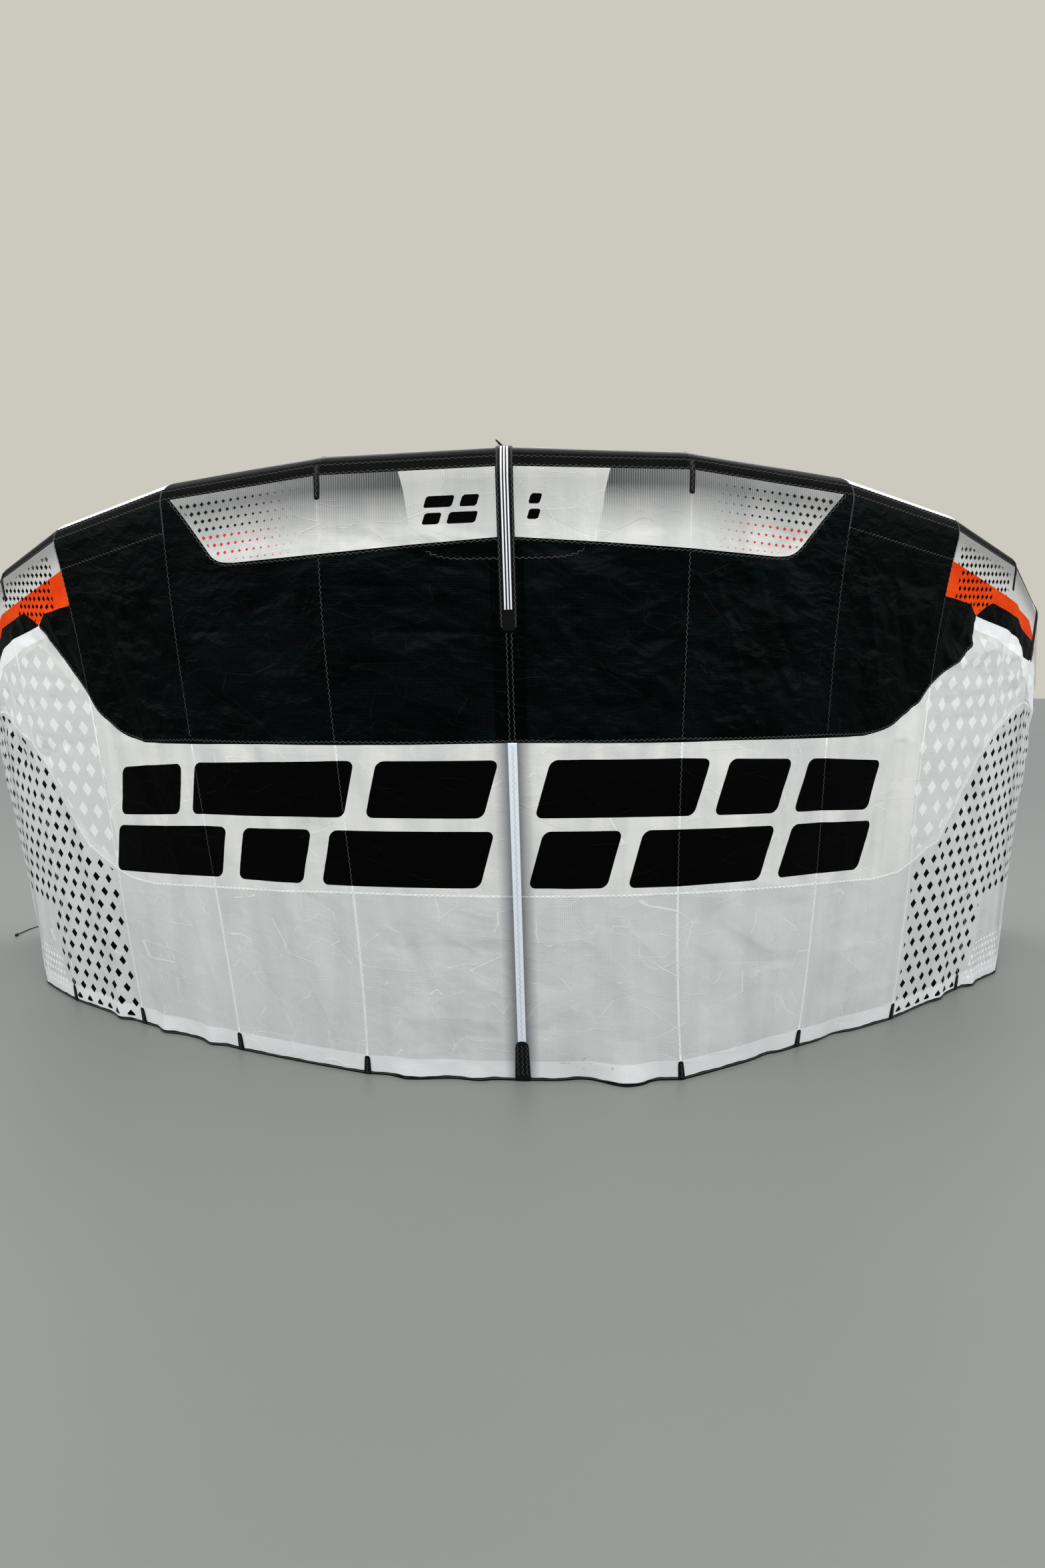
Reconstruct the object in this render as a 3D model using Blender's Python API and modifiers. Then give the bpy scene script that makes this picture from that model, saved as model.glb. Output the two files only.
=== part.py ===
"""Inflatable leading-edge kite, standing on its trailing edge.

Frame: metres, +Z up. The origin is under the centre strut's foot cap, on the surface that the
trailing edge stands on. +X runs to the kite's right tip as seen from its outer side, +Y from the
outer side to the hollow side. Ribs are counted from 0 at the centre to 8 at each tip, negative on
the left. A place on the canopy is (s, v): s in ribs along the span, v from 0 at the trailing edge
to 1 where the cloth first touches the leading edge tube, and on round the tube above that.
"""

import math
from collections import namedtuple

import bmesh
import bpy
from mathutils import Vector

# ---------------------------------------------------------------- driving sizes
GAP = 0.0003                # between pieces that touch
SEAM_GAP = 0.0009           # layer to layer where both are faceted round the tube
CLOTH = 0.0015              # canopy thickness
PATCH = 0.0012              # sewn-on patches and tabs
BINDING_HEIGHT = 0.010      # trailing edge tape, folded
BINDING_THICK = 0.0025
ABOVE_BINDING = 0.0005      # from the tape's upper edge to the cloth's lower edge
TIP_RIB = 8
LAP_ANGLE = math.radians(46)    # how far the canopy laps up the leading edge tube
TUBE_SIDES = 24
MID_CAMBER = 0.020          # outward bow of the cloth over the middle three ribs
STRUT_RADIUS_TOP = 0.046
STRUT_RADIUS_FOOT = 0.028
STRUT_FOOT_V = 0.045
STRUT_CLEAR = 0.0006        # to the flat facets of the cloth in front
OUTER_STRUT_RIB = 5

# One row for each rib: trailing edge on the floor, axis of the leading edge tube, radius of the
# tube, and how far the seam sways to the right at one third and two thirds of the chord.
Rib = namedtuple("Rib", "te_x te_y le_x le_y le_z tube_r sway_low sway_high")
RIBS = {
    -8: Rib(-1.935, 1.755, -2.035, 1.695, 0.580, 0.042, 0.00, 0.00),
    -7: Rib(-1.940, 1.535, -2.055, 1.515, 0.800, 0.050, 0.00, 0.00),
    -6: Rib(-1.890, 1.265, -2.022, 1.305, 1.060, 0.057, 0.00, 0.00),
    -5: Rib(-1.785, 0.970, -1.925, 1.075, 1.330, 0.064, 0.05, 0.06),
    -4: Rib(-1.604, 0.765, -1.729, 0.806, 1.481, 0.070, 0.02, 0.02),
    -3: Rib(-1.284, 0.516, -1.448, 0.536, 1.598, 0.075, 0.01, 0.03),
    -2: Rib(-0.901, 0.266, -1.047, 0.306, 1.700, 0.080, -0.01, -0.02),
    -1: Rib(-0.473, 0.061, -0.563, 0.116, 1.755, 0.084, 0.01, -0.01),
    0: Rib(0.000, 0.006, -0.053, 0.046, 1.774, 0.085, 0.00, 0.00),
    1: Rib(0.478, 0.012, 0.457, 0.116, 1.768, 0.084, -0.03, -0.02),
    2: Rib(0.881, 0.293, 0.949, 0.306, 1.716, 0.080, 0.01, -0.01),
    3: Rib(1.262, 0.561, 1.351, 0.566, 1.629, 0.075, -0.01, -0.04),
    4: Rib(1.595, 0.891, 1.649, 0.856, 1.521, 0.070, 0.00, 0.00),
    5: Rib(1.820, 1.101, 1.848, 1.136, 1.366, 0.064, -0.05, -0.06),
    6: Rib(1.940, 1.411, 1.960, 1.376, 1.100, 0.057, 0.00, 0.00),
    7: Rib(1.960, 1.676, 2.000, 1.576, 0.830, 0.050, 0.00, 0.00),
    8: Rib(1.940, 1.876, 1.980, 1.736, 0.600, 0.042, 0.00, 0.00),
}

# Waves in the trailing edge where the cloth meets the floor: place, outward size, half width.
Wave = namedtuple("Wave", "s out half_width")
WAVES = [
    Wave(-3.25, 0.022, 0.06), Wave(-2.75, 0.024, 0.06), Wave(-2.25, 0.020, 0.05),
    Wave(-0.72, 0.026, 0.10), Wave(-0.28, 0.014, 0.05), Wave(0.38, -0.014, 0.05),
    Wave(0.62, 0.048, 0.06), Wave(0.76, 0.016, 0.05), Wave(1.75, -0.012, 0.06),
    Wave(2.40, -0.018, 0.06), Wave(3.68, 0.014, 0.05), Wave(4.28, 0.018, 0.06),
]
WAVE_REACH = 0.16           # height over which a trailing edge wave fades out

# Main soft folds of the cloth: from (s0, v0) to (s1, v1), outward size, half width.
Fold = namedtuple("Fold", "s0 v0 s1 v1 out half_width")
FOLDS = [
    Fold(-2.92, 0.88, -2.45, 0.50, -0.010, 0.035), Fold(-2.70, 0.90, -2.20, 0.55, 0.007, 0.035),
    Fold(-1.95, 0.66, -1.55, 0.65, -0.007, 0.030), Fold(-1.50, 0.80, -1.10, 0.55, 0.006, 0.040),
    Fold(-0.90, 0.74, -0.15, 0.78, -0.007, 0.035), Fold(-1.50, 0.34, -1.15, 0.06, 0.008, 0.040),
    Fold(-0.80, 0.30, -0.45, 0.08, -0.007, 0.035), Fold(0.10, 0.82, 0.50, 0.50, -0.008, 0.035),
    Fold(0.55, 0.72, 1.30, 0.60, 0.007, 0.035), Fold(1.15, 0.30, 1.75, 0.14, -0.007, 0.040),
    Fold(0.30, 0.36, 0.75, 0.10, 0.007, 0.040), Fold(2.10, 0.92, 2.35, 0.60, -0.008, 0.035),
    Fold(3.10, 0.55, 3.60, 0.15, 0.007, 0.040), Fold(-3.60, 0.55, -3.20, 0.12, 0.007, 0.040),
]

FLAT_BESIDE_RIB = 0.13      # folds die out this far from a rib, in ribs, under its tabs
FOLDS_END = 0.95            # chord place above which the cloth is smooth
FOLDS_FADE = 0.06           # over which the folds die out below that place

# Plan of the left tip's pigtail line where it lies on the floor, after it leaves the binding.
PIGTAIL_ROUTE = [
    (-1.947, 1.828), (-1.985, 1.862), (-2.045, 1.858), (-2.100, 1.822),
    (-2.140, 1.765), (-2.158, 1.700), (-2.164, 1.645),
]
PIGTAIL_RADIUS = 0.00225
PIGTAIL_LEAD = 0.022        # straight length where it leaves the binding
PIGTAIL_POINTS = 30
OFF_FLOOR = 0.0002          # lowest side of the line and its knot above the floor
KNOT_RADIUS = 0.0058
KNOT_SPACING = 0.0105
KNOT_SIDES = 10

# Finishes: base colour, roughness.
FINISH = {
    "black_cloth": ((0.012, 0.012, 0.013), 0.55),
    "white_cloth": ((0.72, 0.73, 0.74), 0.60),
    "black_tube": ((0.015, 0.015, 0.016), 0.45),
    "white_tube": ((0.82, 0.83, 0.84), 0.45),
    "black_tape": ((0.010, 0.010, 0.011), 0.70),
    "black_line": ((0.020, 0.020, 0.022), 0.65),
}


# ---------------------------------------------------------------- scene set-up
for old in list(bpy.data.objects):
    bpy.data.objects.remove(old, do_unlink=True)

kite = bpy.data.collections.new("kitesurfing_kite")
bpy.context.scene.collection.children.link(kite)


def make_material(name):
    colour, rough = FINISH[name]
    mat = bpy.data.materials.new(name)
    mat.use_nodes = True
    shader = mat.node_tree.nodes["Principled BSDF"]
    shader.inputs["Base Color"].default_value = (*colour, 1.0)
    shader.inputs["Roughness"].default_value = rough
    shader.inputs["Metallic"].default_value = 0.0
    return mat


MATERIALS = {name: make_material(name) for name in FINISH}


def add_object(name, data, material):
    obj = bpy.data.objects.new(name, data)
    data.materials.append(MATERIALS[material])
    kite.objects.link(obj)
    return obj


# ---------------------------------------------------------------- the kite's surface
# A rib's trailing edge point, tube axis point, and directions along the span, down the chord and out.
Frame = namedtuple("Frame", "te le span down out")


def rib_frames():
    te = {k: Vector((r.te_x, r.te_y, 0.0)) for k, r in RIBS.items()}
    le = {k: Vector((r.le_x, r.le_y, r.le_z)) for k, r in RIBS.items()}
    frames = {}
    for k in RIBS:
        inner = (le[k] - le[max(k - 1, -TIP_RIB)]).normalized()
        outer = (le[min(k + 1, TIP_RIB)] - le[k]).normalized()
        span = (inner + outer).normalized()
        down = te[k] - le[k]
        down = (down - span * down.dot(span)).normalized()
        frames[k] = Frame(te[k], le[k], span, down, down.cross(span))
    return frames


FRAMES = rib_frames()


def chord(k):
    return (FRAMES[k].te - FRAMES[k].le).length


def rib_point(k, v, off):
    """Point of rib k at chord place v, off metres outside the tube's and the cloth's inner face."""
    te, le, span, down, out = FRAMES[k]
    rib = RIBS[k]
    radius = rib.tube_r + off
    lean = math.asin(radius / chord(k))
    if v > 1:
        turn = (v - 1) * chord(k) / rib.tube_r - lean
        return le + radius * (out * math.cos(turn) - down * math.sin(turn))
    touch = le + radius * (out * math.cos(lean) + down * math.sin(lean))
    camber = MID_CAMBER * math.sin(math.pi * v) if abs(k) <= 1 else 0.0
    at_low_third = 4.5 * v * (1 - v) * (2 - 3 * v)      # 1 at one third, 0 at two thirds
    at_high_third = 4.5 * v * (1 - v) * (3 * v - 1)     # the other way round
    sway = rib.sway_low * at_low_third + rib.sway_high * at_high_third
    return te.lerp(touch, v) + out * (off * (1 - v) + camber) + span * sway


def lap_v(k):
    """Chord place of the canopy's upper edge, where it is sewn to the tube."""
    rib = RIBS[k]
    return 1 + (LAP_ANGLE + math.asin(rib.tube_r / chord(k))) * rib.tube_r / chord(k)


def fold_out(s, v):
    """Outward size of the waves and folds at (s, v)."""
    side = min(int(abs(s)), TIP_RIB - 1)
    width = 0.5 * (chord_gap(side) + chord_gap(side + 1))
    depth = chord(round(s))
    total = 0.0
    for wave in WAVES:
        across = (s - wave.s) * width / wave.half_width
        total += wave.out * math.exp(-across * across) * math.exp(-v * depth / WAVE_REACH)
    for fold in FOLDS:
        along = Vector(((fold.s1 - fold.s0) * width, (fold.v1 - fold.v0) * depth))
        here = Vector(((s - fold.s0) * width, (v - fold.v0) * depth))
        t = min(max(here.dot(along) / along.length_squared, 0.0), 1.0)
        across = (here - along * t).length / fold.half_width
        total += fold.out * math.sin(math.pi * (0.1 + 0.8 * t)) * math.exp(-across * across)
    near_rib = abs(s - round(s)) if abs(s) < OUTER_STRUT_RIB + 0.5 else 1.0
    fade_span = min(max((near_rib - FLAT_BESIDE_RIB) / FLAT_BESIDE_RIB, 0.0), 1.0)
    fade_top = min(max((FOLDS_END - v) / FOLDS_FADE, 0.0), 1.0)
    return total * fade_span * fade_top


def chord_gap(k):
    """Width of the bay inside rib k at mid chord."""
    if k == 0:
        return chord_gap(1)
    here = (FRAMES[k].te + FRAMES[k].le) / 2
    inside = (FRAMES[k - 1].te + FRAMES[k - 1].le) / 2
    return (here - inside).length


def surface(s, v, off=0.0):
    """Point of the canopy's inner face, moved off metres outward."""
    k = max(-TIP_RIB, min(math.floor(s), TIP_RIB - 1))
    lift = off + fold_out(s, v)
    return rib_point(k, v, lift).lerp(rib_point(k + 1, v, lift), s - k)


def lap_at(s):
    """Chord place of the canopy's upper edge at s, straight from rib to rib."""
    k = max(-TIP_RIB, min(math.floor(s), TIP_RIB - 1))
    return lap_v(k) + (lap_v(k + 1) - lap_v(k)) * (s - k)


def v_at_height(s, z):
    """Chord place at height z above the floor, close to the trailing edge."""
    foot = surface(s, 0.0).z
    return (z - foot) / (surface(s, 1.0).z - foot)


# ---------------------------------------------------------------- ways of making
def make_sheet(name, columns, rows, place, thickness, material):
    """A grid laid on the surface by place(a, b), a and b from 0 to 1, thickened outward."""
    bm = bmesh.new()
    bmesh.ops.create_grid(bm, x_segments=columns, y_segments=rows, size=0.5)
    for vert in bm.verts:
        vert.co = place(vert.co.x + 0.5, vert.co.y + 0.5)
    bmesh.ops.recalc_face_normals(bm, faces=bm.faces)
    outward = FRAMES[place.near_rib].out
    if sum((f.normal for f in bm.faces), Vector()).dot(outward) < 0:
        bmesh.ops.reverse_faces(bm, faces=bm.faces)
    mesh = bpy.data.meshes.new(name)
    bm.to_mesh(mesh)
    bm.free()
    obj = add_object(name, mesh, material)
    shell = obj.modifiers.new("thickness", "SOLIDIFY")
    shell.thickness = thickness
    shell.offset = 1.0
    shell.use_even_offset = True
    return obj


def make_loft(name, rings, material, smooth=True):
    """A closed body through rings of equally many points, its two ends capped flat."""
    bm = bmesh.new()
    loops = [[bm.verts.new(point) for point in ring] for ring in rings]
    count = len(rings[0])
    for low, high in zip(loops, loops[1:]):
        for i in range(count):
            j = (i + 1) % count
            bm.faces.new((low[i], low[j], high[j], high[i]))
    bm.faces.new(loops[0])
    bm.faces.new(loops[-1])
    bmesh.ops.recalc_face_normals(bm, faces=bm.faces)
    mesh = bpy.data.meshes.new(name)
    bm.to_mesh(mesh)
    bm.free()
    if smooth:
        mesh.shade_smooth()
        mesh.set_sharp_from_angle(angle=math.radians(40))
    return add_object(name, mesh, material)


def bay_name(kind, low_rib):
    """Name of a piece in the bay between low_rib and low_rib + 1."""
    return f"{kind}_r{low_rib + 1}" if low_rib >= 0 else f"{kind}_l{-low_rib}"


def rib_name(kind, rib):
    return f"{kind}_r{rib}" if rib > 0 else f"{kind}_l{-rib}"


# ---------------------------------------------------------------- leading edge tube
Rounding = namedtuple("Rounding", "along radius")     # here both in tube radii
TIP_ROUNDING = [Rounding(0.0, 1.0), Rounding(0.45, 0.90), Rounding(0.80, 0.60), Rounding(0.95, 0.25)]
BLACK_TUBE_RIB = 2          # the tube is black inside these ribs, white outside them


def tube_ring(k, shift, scale=1.0):
    """Ring of the tube on the mitre plane of rib k, shifted along the span."""
    frame = FRAMES[k]
    radius = RIBS[k].tube_r * scale
    ring = []
    for i in range(TUBE_SIDES):
        turn = 2 * math.pi * i / TUBE_SIDES
        radial = frame.out * math.cos(turn) - frame.down * math.sin(turn)
        ring.append(frame.le + frame.span * shift + radial * radius)
    return ring


def tip_rings(k):
    """Rings that round off the closed end of the tube at tip rib k, from the rib outward."""
    outward = math.copysign(RIBS[k].tube_r, k)
    return [tube_ring(k, row.along * outward, row.radius) for row in TIP_ROUNDING]


def make_tube_section(low):
    rings = [tube_ring(low, GAP / 2), tube_ring(low + 1, -GAP / 2)]
    if low == -TIP_RIB:
        rings = tip_rings(low)[::-1] + rings[1:]
    if low + 1 == TIP_RIB:
        rings = rings[:1] + tip_rings(low + 1)
    material = "black_tube" if abs(low + 0.5) < BLACK_TUBE_RIB else "white_tube"
    make_loft(bay_name("le_tube", low), rings, material)


for low_rib in range(-TIP_RIB, TIP_RIB):
    make_tube_section(low_rib)


# ---------------------------------------------------------------- canopy panels
CANOPY_ROWS = 13
LAP_ROWS = 4                # rows of the grid that lie on the tube
LAP_START = 0.990           # chord place where the close rows begin
CANOPY_COLUMNS = 8          # in a bay inside the outer struts
TIP_COLUMNS = 4             # in a smooth bay outside them
BLACK_CLOTH_RIB = 3         # the cloth is mostly black inside these ribs


class Panel:
    """Places a canopy panel's grid on its bay."""

    def __init__(self, low):
        self.low = low
        self.near_rib = low if low < 0 else low + 1
        self.split = 1 - (LAP_ROWS + 1) / CANOPY_ROWS
        self.edge = GAP / 2 / chord_gap(max(abs(low), abs(low + 1)))

    def __call__(self, a, b):
        s = self.low + self.edge + a * (1 - 2 * self.edge)
        start = v_at_height(s, BINDING_HEIGHT + ABOVE_BINDING)
        if b <= self.split:
            v = start + (LAP_START - start) * b / self.split
        else:
            v = LAP_START + (lap_at(s) - LAP_START) * (b - self.split) / (1 - self.split)
        return surface(s, v, SEAM_GAP)


def make_canopy_panel(low):
    columns = CANOPY_COLUMNS if abs(low + 0.5) < OUTER_STRUT_RIB else TIP_COLUMNS
    material = "black_cloth" if abs(low + 0.5) < BLACK_CLOTH_RIB else "white_cloth"
    make_sheet(bay_name("canopy", low), columns, CANOPY_ROWS, Panel(low), CLOTH, material)


for low_rib in range(-TIP_RIB, TIP_RIB):
    make_canopy_panel(low_rib)


# ---------------------------------------------------------------- trailing edge binding
EDGE_STEP = 0.02            # in ribs, to read the edge's direction
BINDING_STEPS_PER_BAY = 8
BINDING_END = 0.0007        # keeps neighbouring lengths of tape apart, in ribs


def edge_frame(s):
    """Trailing edge point on the floor at s, and the level outward direction there."""
    point = surface(s, 0.0)
    ahead = surface(min(s + EDGE_STEP, TIP_RIB), 0.0)
    behind = surface(max(s - EDGE_STEP, -TIP_RIB), 0.0)
    along = (ahead - behind).normalized()
    return Vector((point.x, point.y, 0.0)), Vector((along.y, -along.x, 0.0)).normalized()


def make_binding(name, start, end):
    steps = round(abs(end - start) * BINDING_STEPS_PER_BAY)
    rings = []
    for i in range(steps + 1):
        point, out = edge_frame(start + (end - start) * i / steps)
        inner = point + out * (SEAM_GAP + (CLOTH - BINDING_THICK) / 2)
        outer = inner + out * BINDING_THICK
        top = Vector((0, 0, BINDING_HEIGHT))
        rings.append([inner, outer, outer + top, inner + top])
    make_loft(name, rings, "black_tape", smooth=False)


make_binding("te_binding_l_outer", -TIP_RIB, -OUTER_STRUT_RIB - BINDING_END)
make_binding("te_binding_l_inner", -OUTER_STRUT_RIB + BINDING_END, -BINDING_END)
make_binding("te_binding_r_inner", BINDING_END, OUTER_STRUT_RIB - BINDING_END)
make_binding("te_binding_r_outer", OUTER_STRUT_RIB + BINDING_END, TIP_RIB)


# ---------------------------------------------------------------- patches and tabs over the ribs
ARC_STEP = math.radians(11)     # rows of a strip where it bends round the tube
ROUND_END_WIDTH = 0.45          # of a strip's width, left square at the tip of a round end


def strip_rows(k, v_low, v_high, step):
    """Chord places of a strip's rows, closer together round the tube."""
    straight_end = min(v_high, LAP_START)
    count = max(math.ceil((straight_end - v_low) / step), 1) if v_low < straight_end else 0
    rows = [v_low + (straight_end - v_low) * i / count for i in range(count)]
    arc_start = max(v_low, straight_end)
    count = max(math.ceil((v_high - arc_start) * chord(k) / RIBS[k].tube_r / ARC_STEP), 1)
    if v_high <= LAP_START:
        return rows + [v_high]
    return rows + [arc_start + (v_high - arc_start) * i / count for i in range(count + 1)]


class Strip:
    """Places a strip that straddles rib k along rows of chord places; round ends narrow there."""

    def __init__(self, k, rows, widths, off, round_low, round_high):
        self.k = k
        self.near_rib = k
        self.rows = rows
        self.widths = widths
        self.off = off
        self.rounds = (round_low, round_high)

    def half_width(self, v):
        low, high = self.rows[0], self.rows[-1]
        width = self.widths[0] + (self.widths[1] - self.widths[0]) * (v - low) / (high - low)
        for rounded, distance in zip(self.rounds, ((v - low) * chord(self.k), (high - v) * chord(self.k))):
            reach = width / 2
            if rounded and distance < reach:
                arc = math.sqrt(1 - (1 - distance / reach) ** 2)
                width *= ROUND_END_WIDTH + (1 - ROUND_END_WIDTH) * arc
        return width / 2

    def __call__(self, a, b):
        v = self.rows[round(b * (len(self.rows) - 1))]
        across = (2 * a - 1) * self.half_width(v)
        neighbour = self.k + (1 if across > 0 else 0)
        point = surface(self.k + across / chord_gap(neighbour), v, self.off)
        point.z = max(point.z, GAP)
        return point


def make_strip(name, columns, place):
    make_sheet(name, columns, len(place.rows) - 1, place, PATCH, "black_tape")


ON_CLOTH = SEAM_GAP + CLOTH + SEAM_GAP
ON_BINDING = SEAM_GAP + (CLOTH + BINDING_THICK) / 2 + GAP

# A black strip over a strut, from v_low to v_high on the tube, round at its lower end.
Patch = namedtuple("Patch", "name rib v_low v_high")
PATCHES = [
    Patch("strut_patch_centre", 0, 0.758, 1.078),
    Patch("strut_patch_right", OUTER_STRUT_RIB, 0.87, 1.07),
    Patch("strut_patch_left", -OUTER_STRUT_RIB, 0.87, 1.07),
]
PATCH_WIDTH = 0.046
PATCH_ROUND_ROWS = (0.0, 0.006, 0.014)      # chord places above v_low, round the end
PATCH_STEP = 0.05
for patch in PATCHES:
    low_rows = [patch.v_low + step for step in PATCH_ROUND_ROWS]
    rows = low_rows[:-1] + strip_rows(patch.rib, low_rows[-1], patch.v_high, PATCH_STEP)
    widths = (PATCH_WIDTH, PATCH_WIDTH)
    make_strip(patch.name, 2, Strip(patch.rib, rows, widths, ON_CLOTH, True, False))

LE_TAB_WIDTH = 0.016
# A short black tab over a seam, from v_low up to just below the lap.
Tab = namedtuple("Tab", "rib v_low")
LE_TABS = [Tab(-4, 0.963), Tab(-1, 0.977), Tab(1, 0.977), Tab(4, 0.963)]
LE_TAB_ROUND_ROWS = (0.0, 0.003, 0.007)     # chord places above v_low, round the end
LE_TAB_BELOW_LAP = 0.006
LE_TAB_STEP = 0.02
for tab in LE_TABS:
    top = lap_v(tab.rib) - LE_TAB_BELOW_LAP
    low_rows = [tab.v_low + step for step in LE_TAB_ROUND_ROWS]
    rows = [*low_rows[:-1], *strip_rows(tab.rib, low_rows[-1], top, LE_TAB_STEP)]
    widths = (LE_TAB_WIDTH, LE_TAB_WIDTH)
    make_strip(rib_name("le_tab", tab.rib), 2, Strip(tab.rib, rows, widths, ON_CLOTH, True, False))

TE_TAB_HEIGHT = 0.060
TE_TAB_WIDTHS = (0.026, 0.018)
TE_TAB_ROWS = (0.0, 0.4, 0.85, 0.96, 1.0)   # shares of its height
for rib in (-4, -3, -2, -1, 1, 2, 3, 4):
    rows = [v_at_height(rib, TE_TAB_HEIGHT * share) for share in TE_TAB_ROWS]
    make_strip(rib_name("te_tab", rib), 2, Strip(rib, rows, TE_TAB_WIDTHS, ON_BINDING, False, True))


# ---------------------------------------------------------------- foot cap of the centre strut
CAP_HEIGHT = 0.125
CAP_WIDTH = (0.050, 0.040)
CAP_THICK = (0.0070, 0.0025)
CAP_LEVELS = (0.0, 0.0101, 0.03, 0.08, 0.113, CAP_HEIGHT)
CAP_TOP_WIDTH = 0.7         # share of the width at its upper edge, corners cut off


def make_foot_cap():
    """A folded webbing cap in front of the cloth, with a flat foot on the floor."""
    rings = []
    for z in CAP_LEVELS:
        t = z / CAP_HEIGHT
        width = CAP_WIDTH[0] + (CAP_WIDTH[1] - CAP_WIDTH[0]) * t
        if z == CAP_HEIGHT:
            width *= CAP_TOP_WIDTH
        thick = CAP_THICK[0] + (CAP_THICK[1] - CAP_THICK[0]) * t
        back = []
        for across in (-width / 2, 0.0, width / 2):
            s = across / chord_gap(1)
            point = surface(s, v_at_height(s, z), ON_BINDING + GAP)
            back.append(Vector((across, point.y, z)))
        front_y = min(point.y for point in back) - thick
        front = [Vector((point.x, front_y, z)) for point in back]
        rings.append(back + front[::-1])
    make_loft("te_cap_centre", rings, "black_tape", smooth=False)


make_foot_cap()


# ---------------------------------------------------------------- struts
STRUT_SIDES = 12
STRUT_RINGS = 8


def make_strut(name, k):
    """An inflated tube behind the cloth, from under the leading edge tube to near the trailing edge."""
    te, le, span, down, out = FRAMES[k]
    scale = RIBS[k].tube_r / RIBS[0].tube_r
    half_bend = span.angle(FRAMES[k + 1][1] - le)
    clear = SEAM_GAP + scale * STRUT_RADIUS_TOP * math.tan(half_bend)
    v_top = 1 - (RIBS[k].tube_r + clear) / (te - le).dot(down)
    rings = []
    for i in range(STRUT_RINGS + 1):
        v = STRUT_FOOT_V + (v_top - STRUT_FOOT_V) * i / STRUT_RINGS
        t = i / STRUT_RINGS
        radius = scale * (STRUT_RADIUS_FOOT + (STRUT_RADIUS_TOP - STRUT_RADIUS_FOOT) * t)
        front = rib_point(k, v, SEAM_GAP)
        centre = front - out * (radius + STRUT_CLEAR)
        ring = []
        for j in range(STRUT_SIDES):
            turn = 2 * math.pi * j / STRUT_SIDES
            ring.append(centre + radius * (out * math.cos(turn) + span * math.sin(turn)))
        rings.append(ring)
    make_loft(name, rings, "white_cloth")


make_strut("strut_centre", 0)
make_strut("strut_left", -OUTER_STRUT_RIB)
make_strut("strut_right", OUTER_STRUT_RIB)


# ---------------------------------------------------------------- webbing stub at the top centre
STUB_LENGTH = 0.034
STUB_TURN = math.radians(106)       # round the tube from its outward side, just behind the patch
STUB_RISE = 0.0040                  # from the tube to its lower corners' middle
STUB_LEAN = 0.85                    # to the left, per length outward
STUB_THICK = 0.0024
Width = namedtuple("Width", "along half")
STUB_WIDTHS = [Width(0.0, 0.0050), Width(0.5, 0.0038), Width(1.0, 0.0018)]


def make_stub():
    """A short tapered end of webbing that leans to the left, up from the top of the tube."""
    frame = FRAMES[0]
    radial = frame.out * math.cos(STUB_TURN) - frame.down * math.sin(STUB_TURN)
    base = frame.le + radial * (RIBS[0].tube_r + STUB_RISE)
    along = (radial - frame.span * STUB_LEAN).normalized()
    side = along.cross(frame.out).normalized()
    flat = frame.out * STUB_THICK / 2
    rings = []
    for row in STUB_WIDTHS:
        left = base + along * STUB_LENGTH * row.along - side * row.half
        right = base + along * STUB_LENGTH * row.along + side * row.half
        rings.append([left - flat, right - flat, right + flat, left + flat])
    make_loft("stub_webbing", rings, "black_tape", smooth=False)


make_stub()


# ---------------------------------------------------------------- pigtail line at the left tip
def spline_point(points, t):
    """Catmull-Rom through points, t from 0 to 1."""
    spans = len(points) - 1
    i = min(int(t * spans), spans - 1)
    u = t * spans - i
    p = [points[max(i - 1, 0)], points[i], points[i + 1], points[min(i + 2, spans)]]
    return (p[1] + (p[2] - p[0]) * (u / 2) + (p[0] * 2 - p[1] * 5 + p[2] * 4 - p[3]) * (u * u / 2)
            + (p[1] * 3 - p[0] - p[2] * 3 + p[3]) * (u ** 3 / 2))


def make_pigtail():
    """The line from the binding's end to its knot. Returns the points it runs through."""
    rest = PIGTAIL_RADIUS + OFF_FLOOR
    corner, out = edge_frame(-TIP_RIB)
    away = Vector((out.y, -out.x, 0.0))
    start = corner + out * (SEAM_GAP + CLOTH / 2) + away * GAP
    start.z = BINDING_HEIGHT / 2
    route = [start, start + away * PIGTAIL_LEAD]
    route += [Vector((x, y, rest)) for x, y in PIGTAIL_ROUTE]
    route[1].z -= PIGTAIL_RADIUS / 2
    route[-1].z = KNOT_RADIUS + OFF_FLOOR
    curve = bpy.data.curves.new("pigtail_line", "CURVE")
    curve.dimensions = "3D"
    curve.bevel_depth = PIGTAIL_RADIUS
    curve.bevel_resolution = 2
    curve.use_fill_caps = True
    spline = curve.splines.new("POLY")
    spline.points.add(PIGTAIL_POINTS - 1)
    for i, point in enumerate(spline.points):
        place = spline_point(route, i / (PIGTAIL_POINTS - 1))
        point.co = (place.x, place.y, max(place.z, rest), 1.0)
    add_object("pigtail_line", curve, "black_line")
    return route


# Outline of the two knots: along in knot spacings, radius in knot radii.
KNOT_PROFILE = [
    Rounding(0.0, 0.35), Rounding(0.12, 0.80), Rounding(0.5, 1.0), Rounding(0.88, 0.80),
    Rounding(1.0, 0.5),
    Rounding(1.12, 0.75), Rounding(1.5, 0.95), Rounding(1.88, 0.75), Rounding(2.0, 0.35),
]


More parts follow.
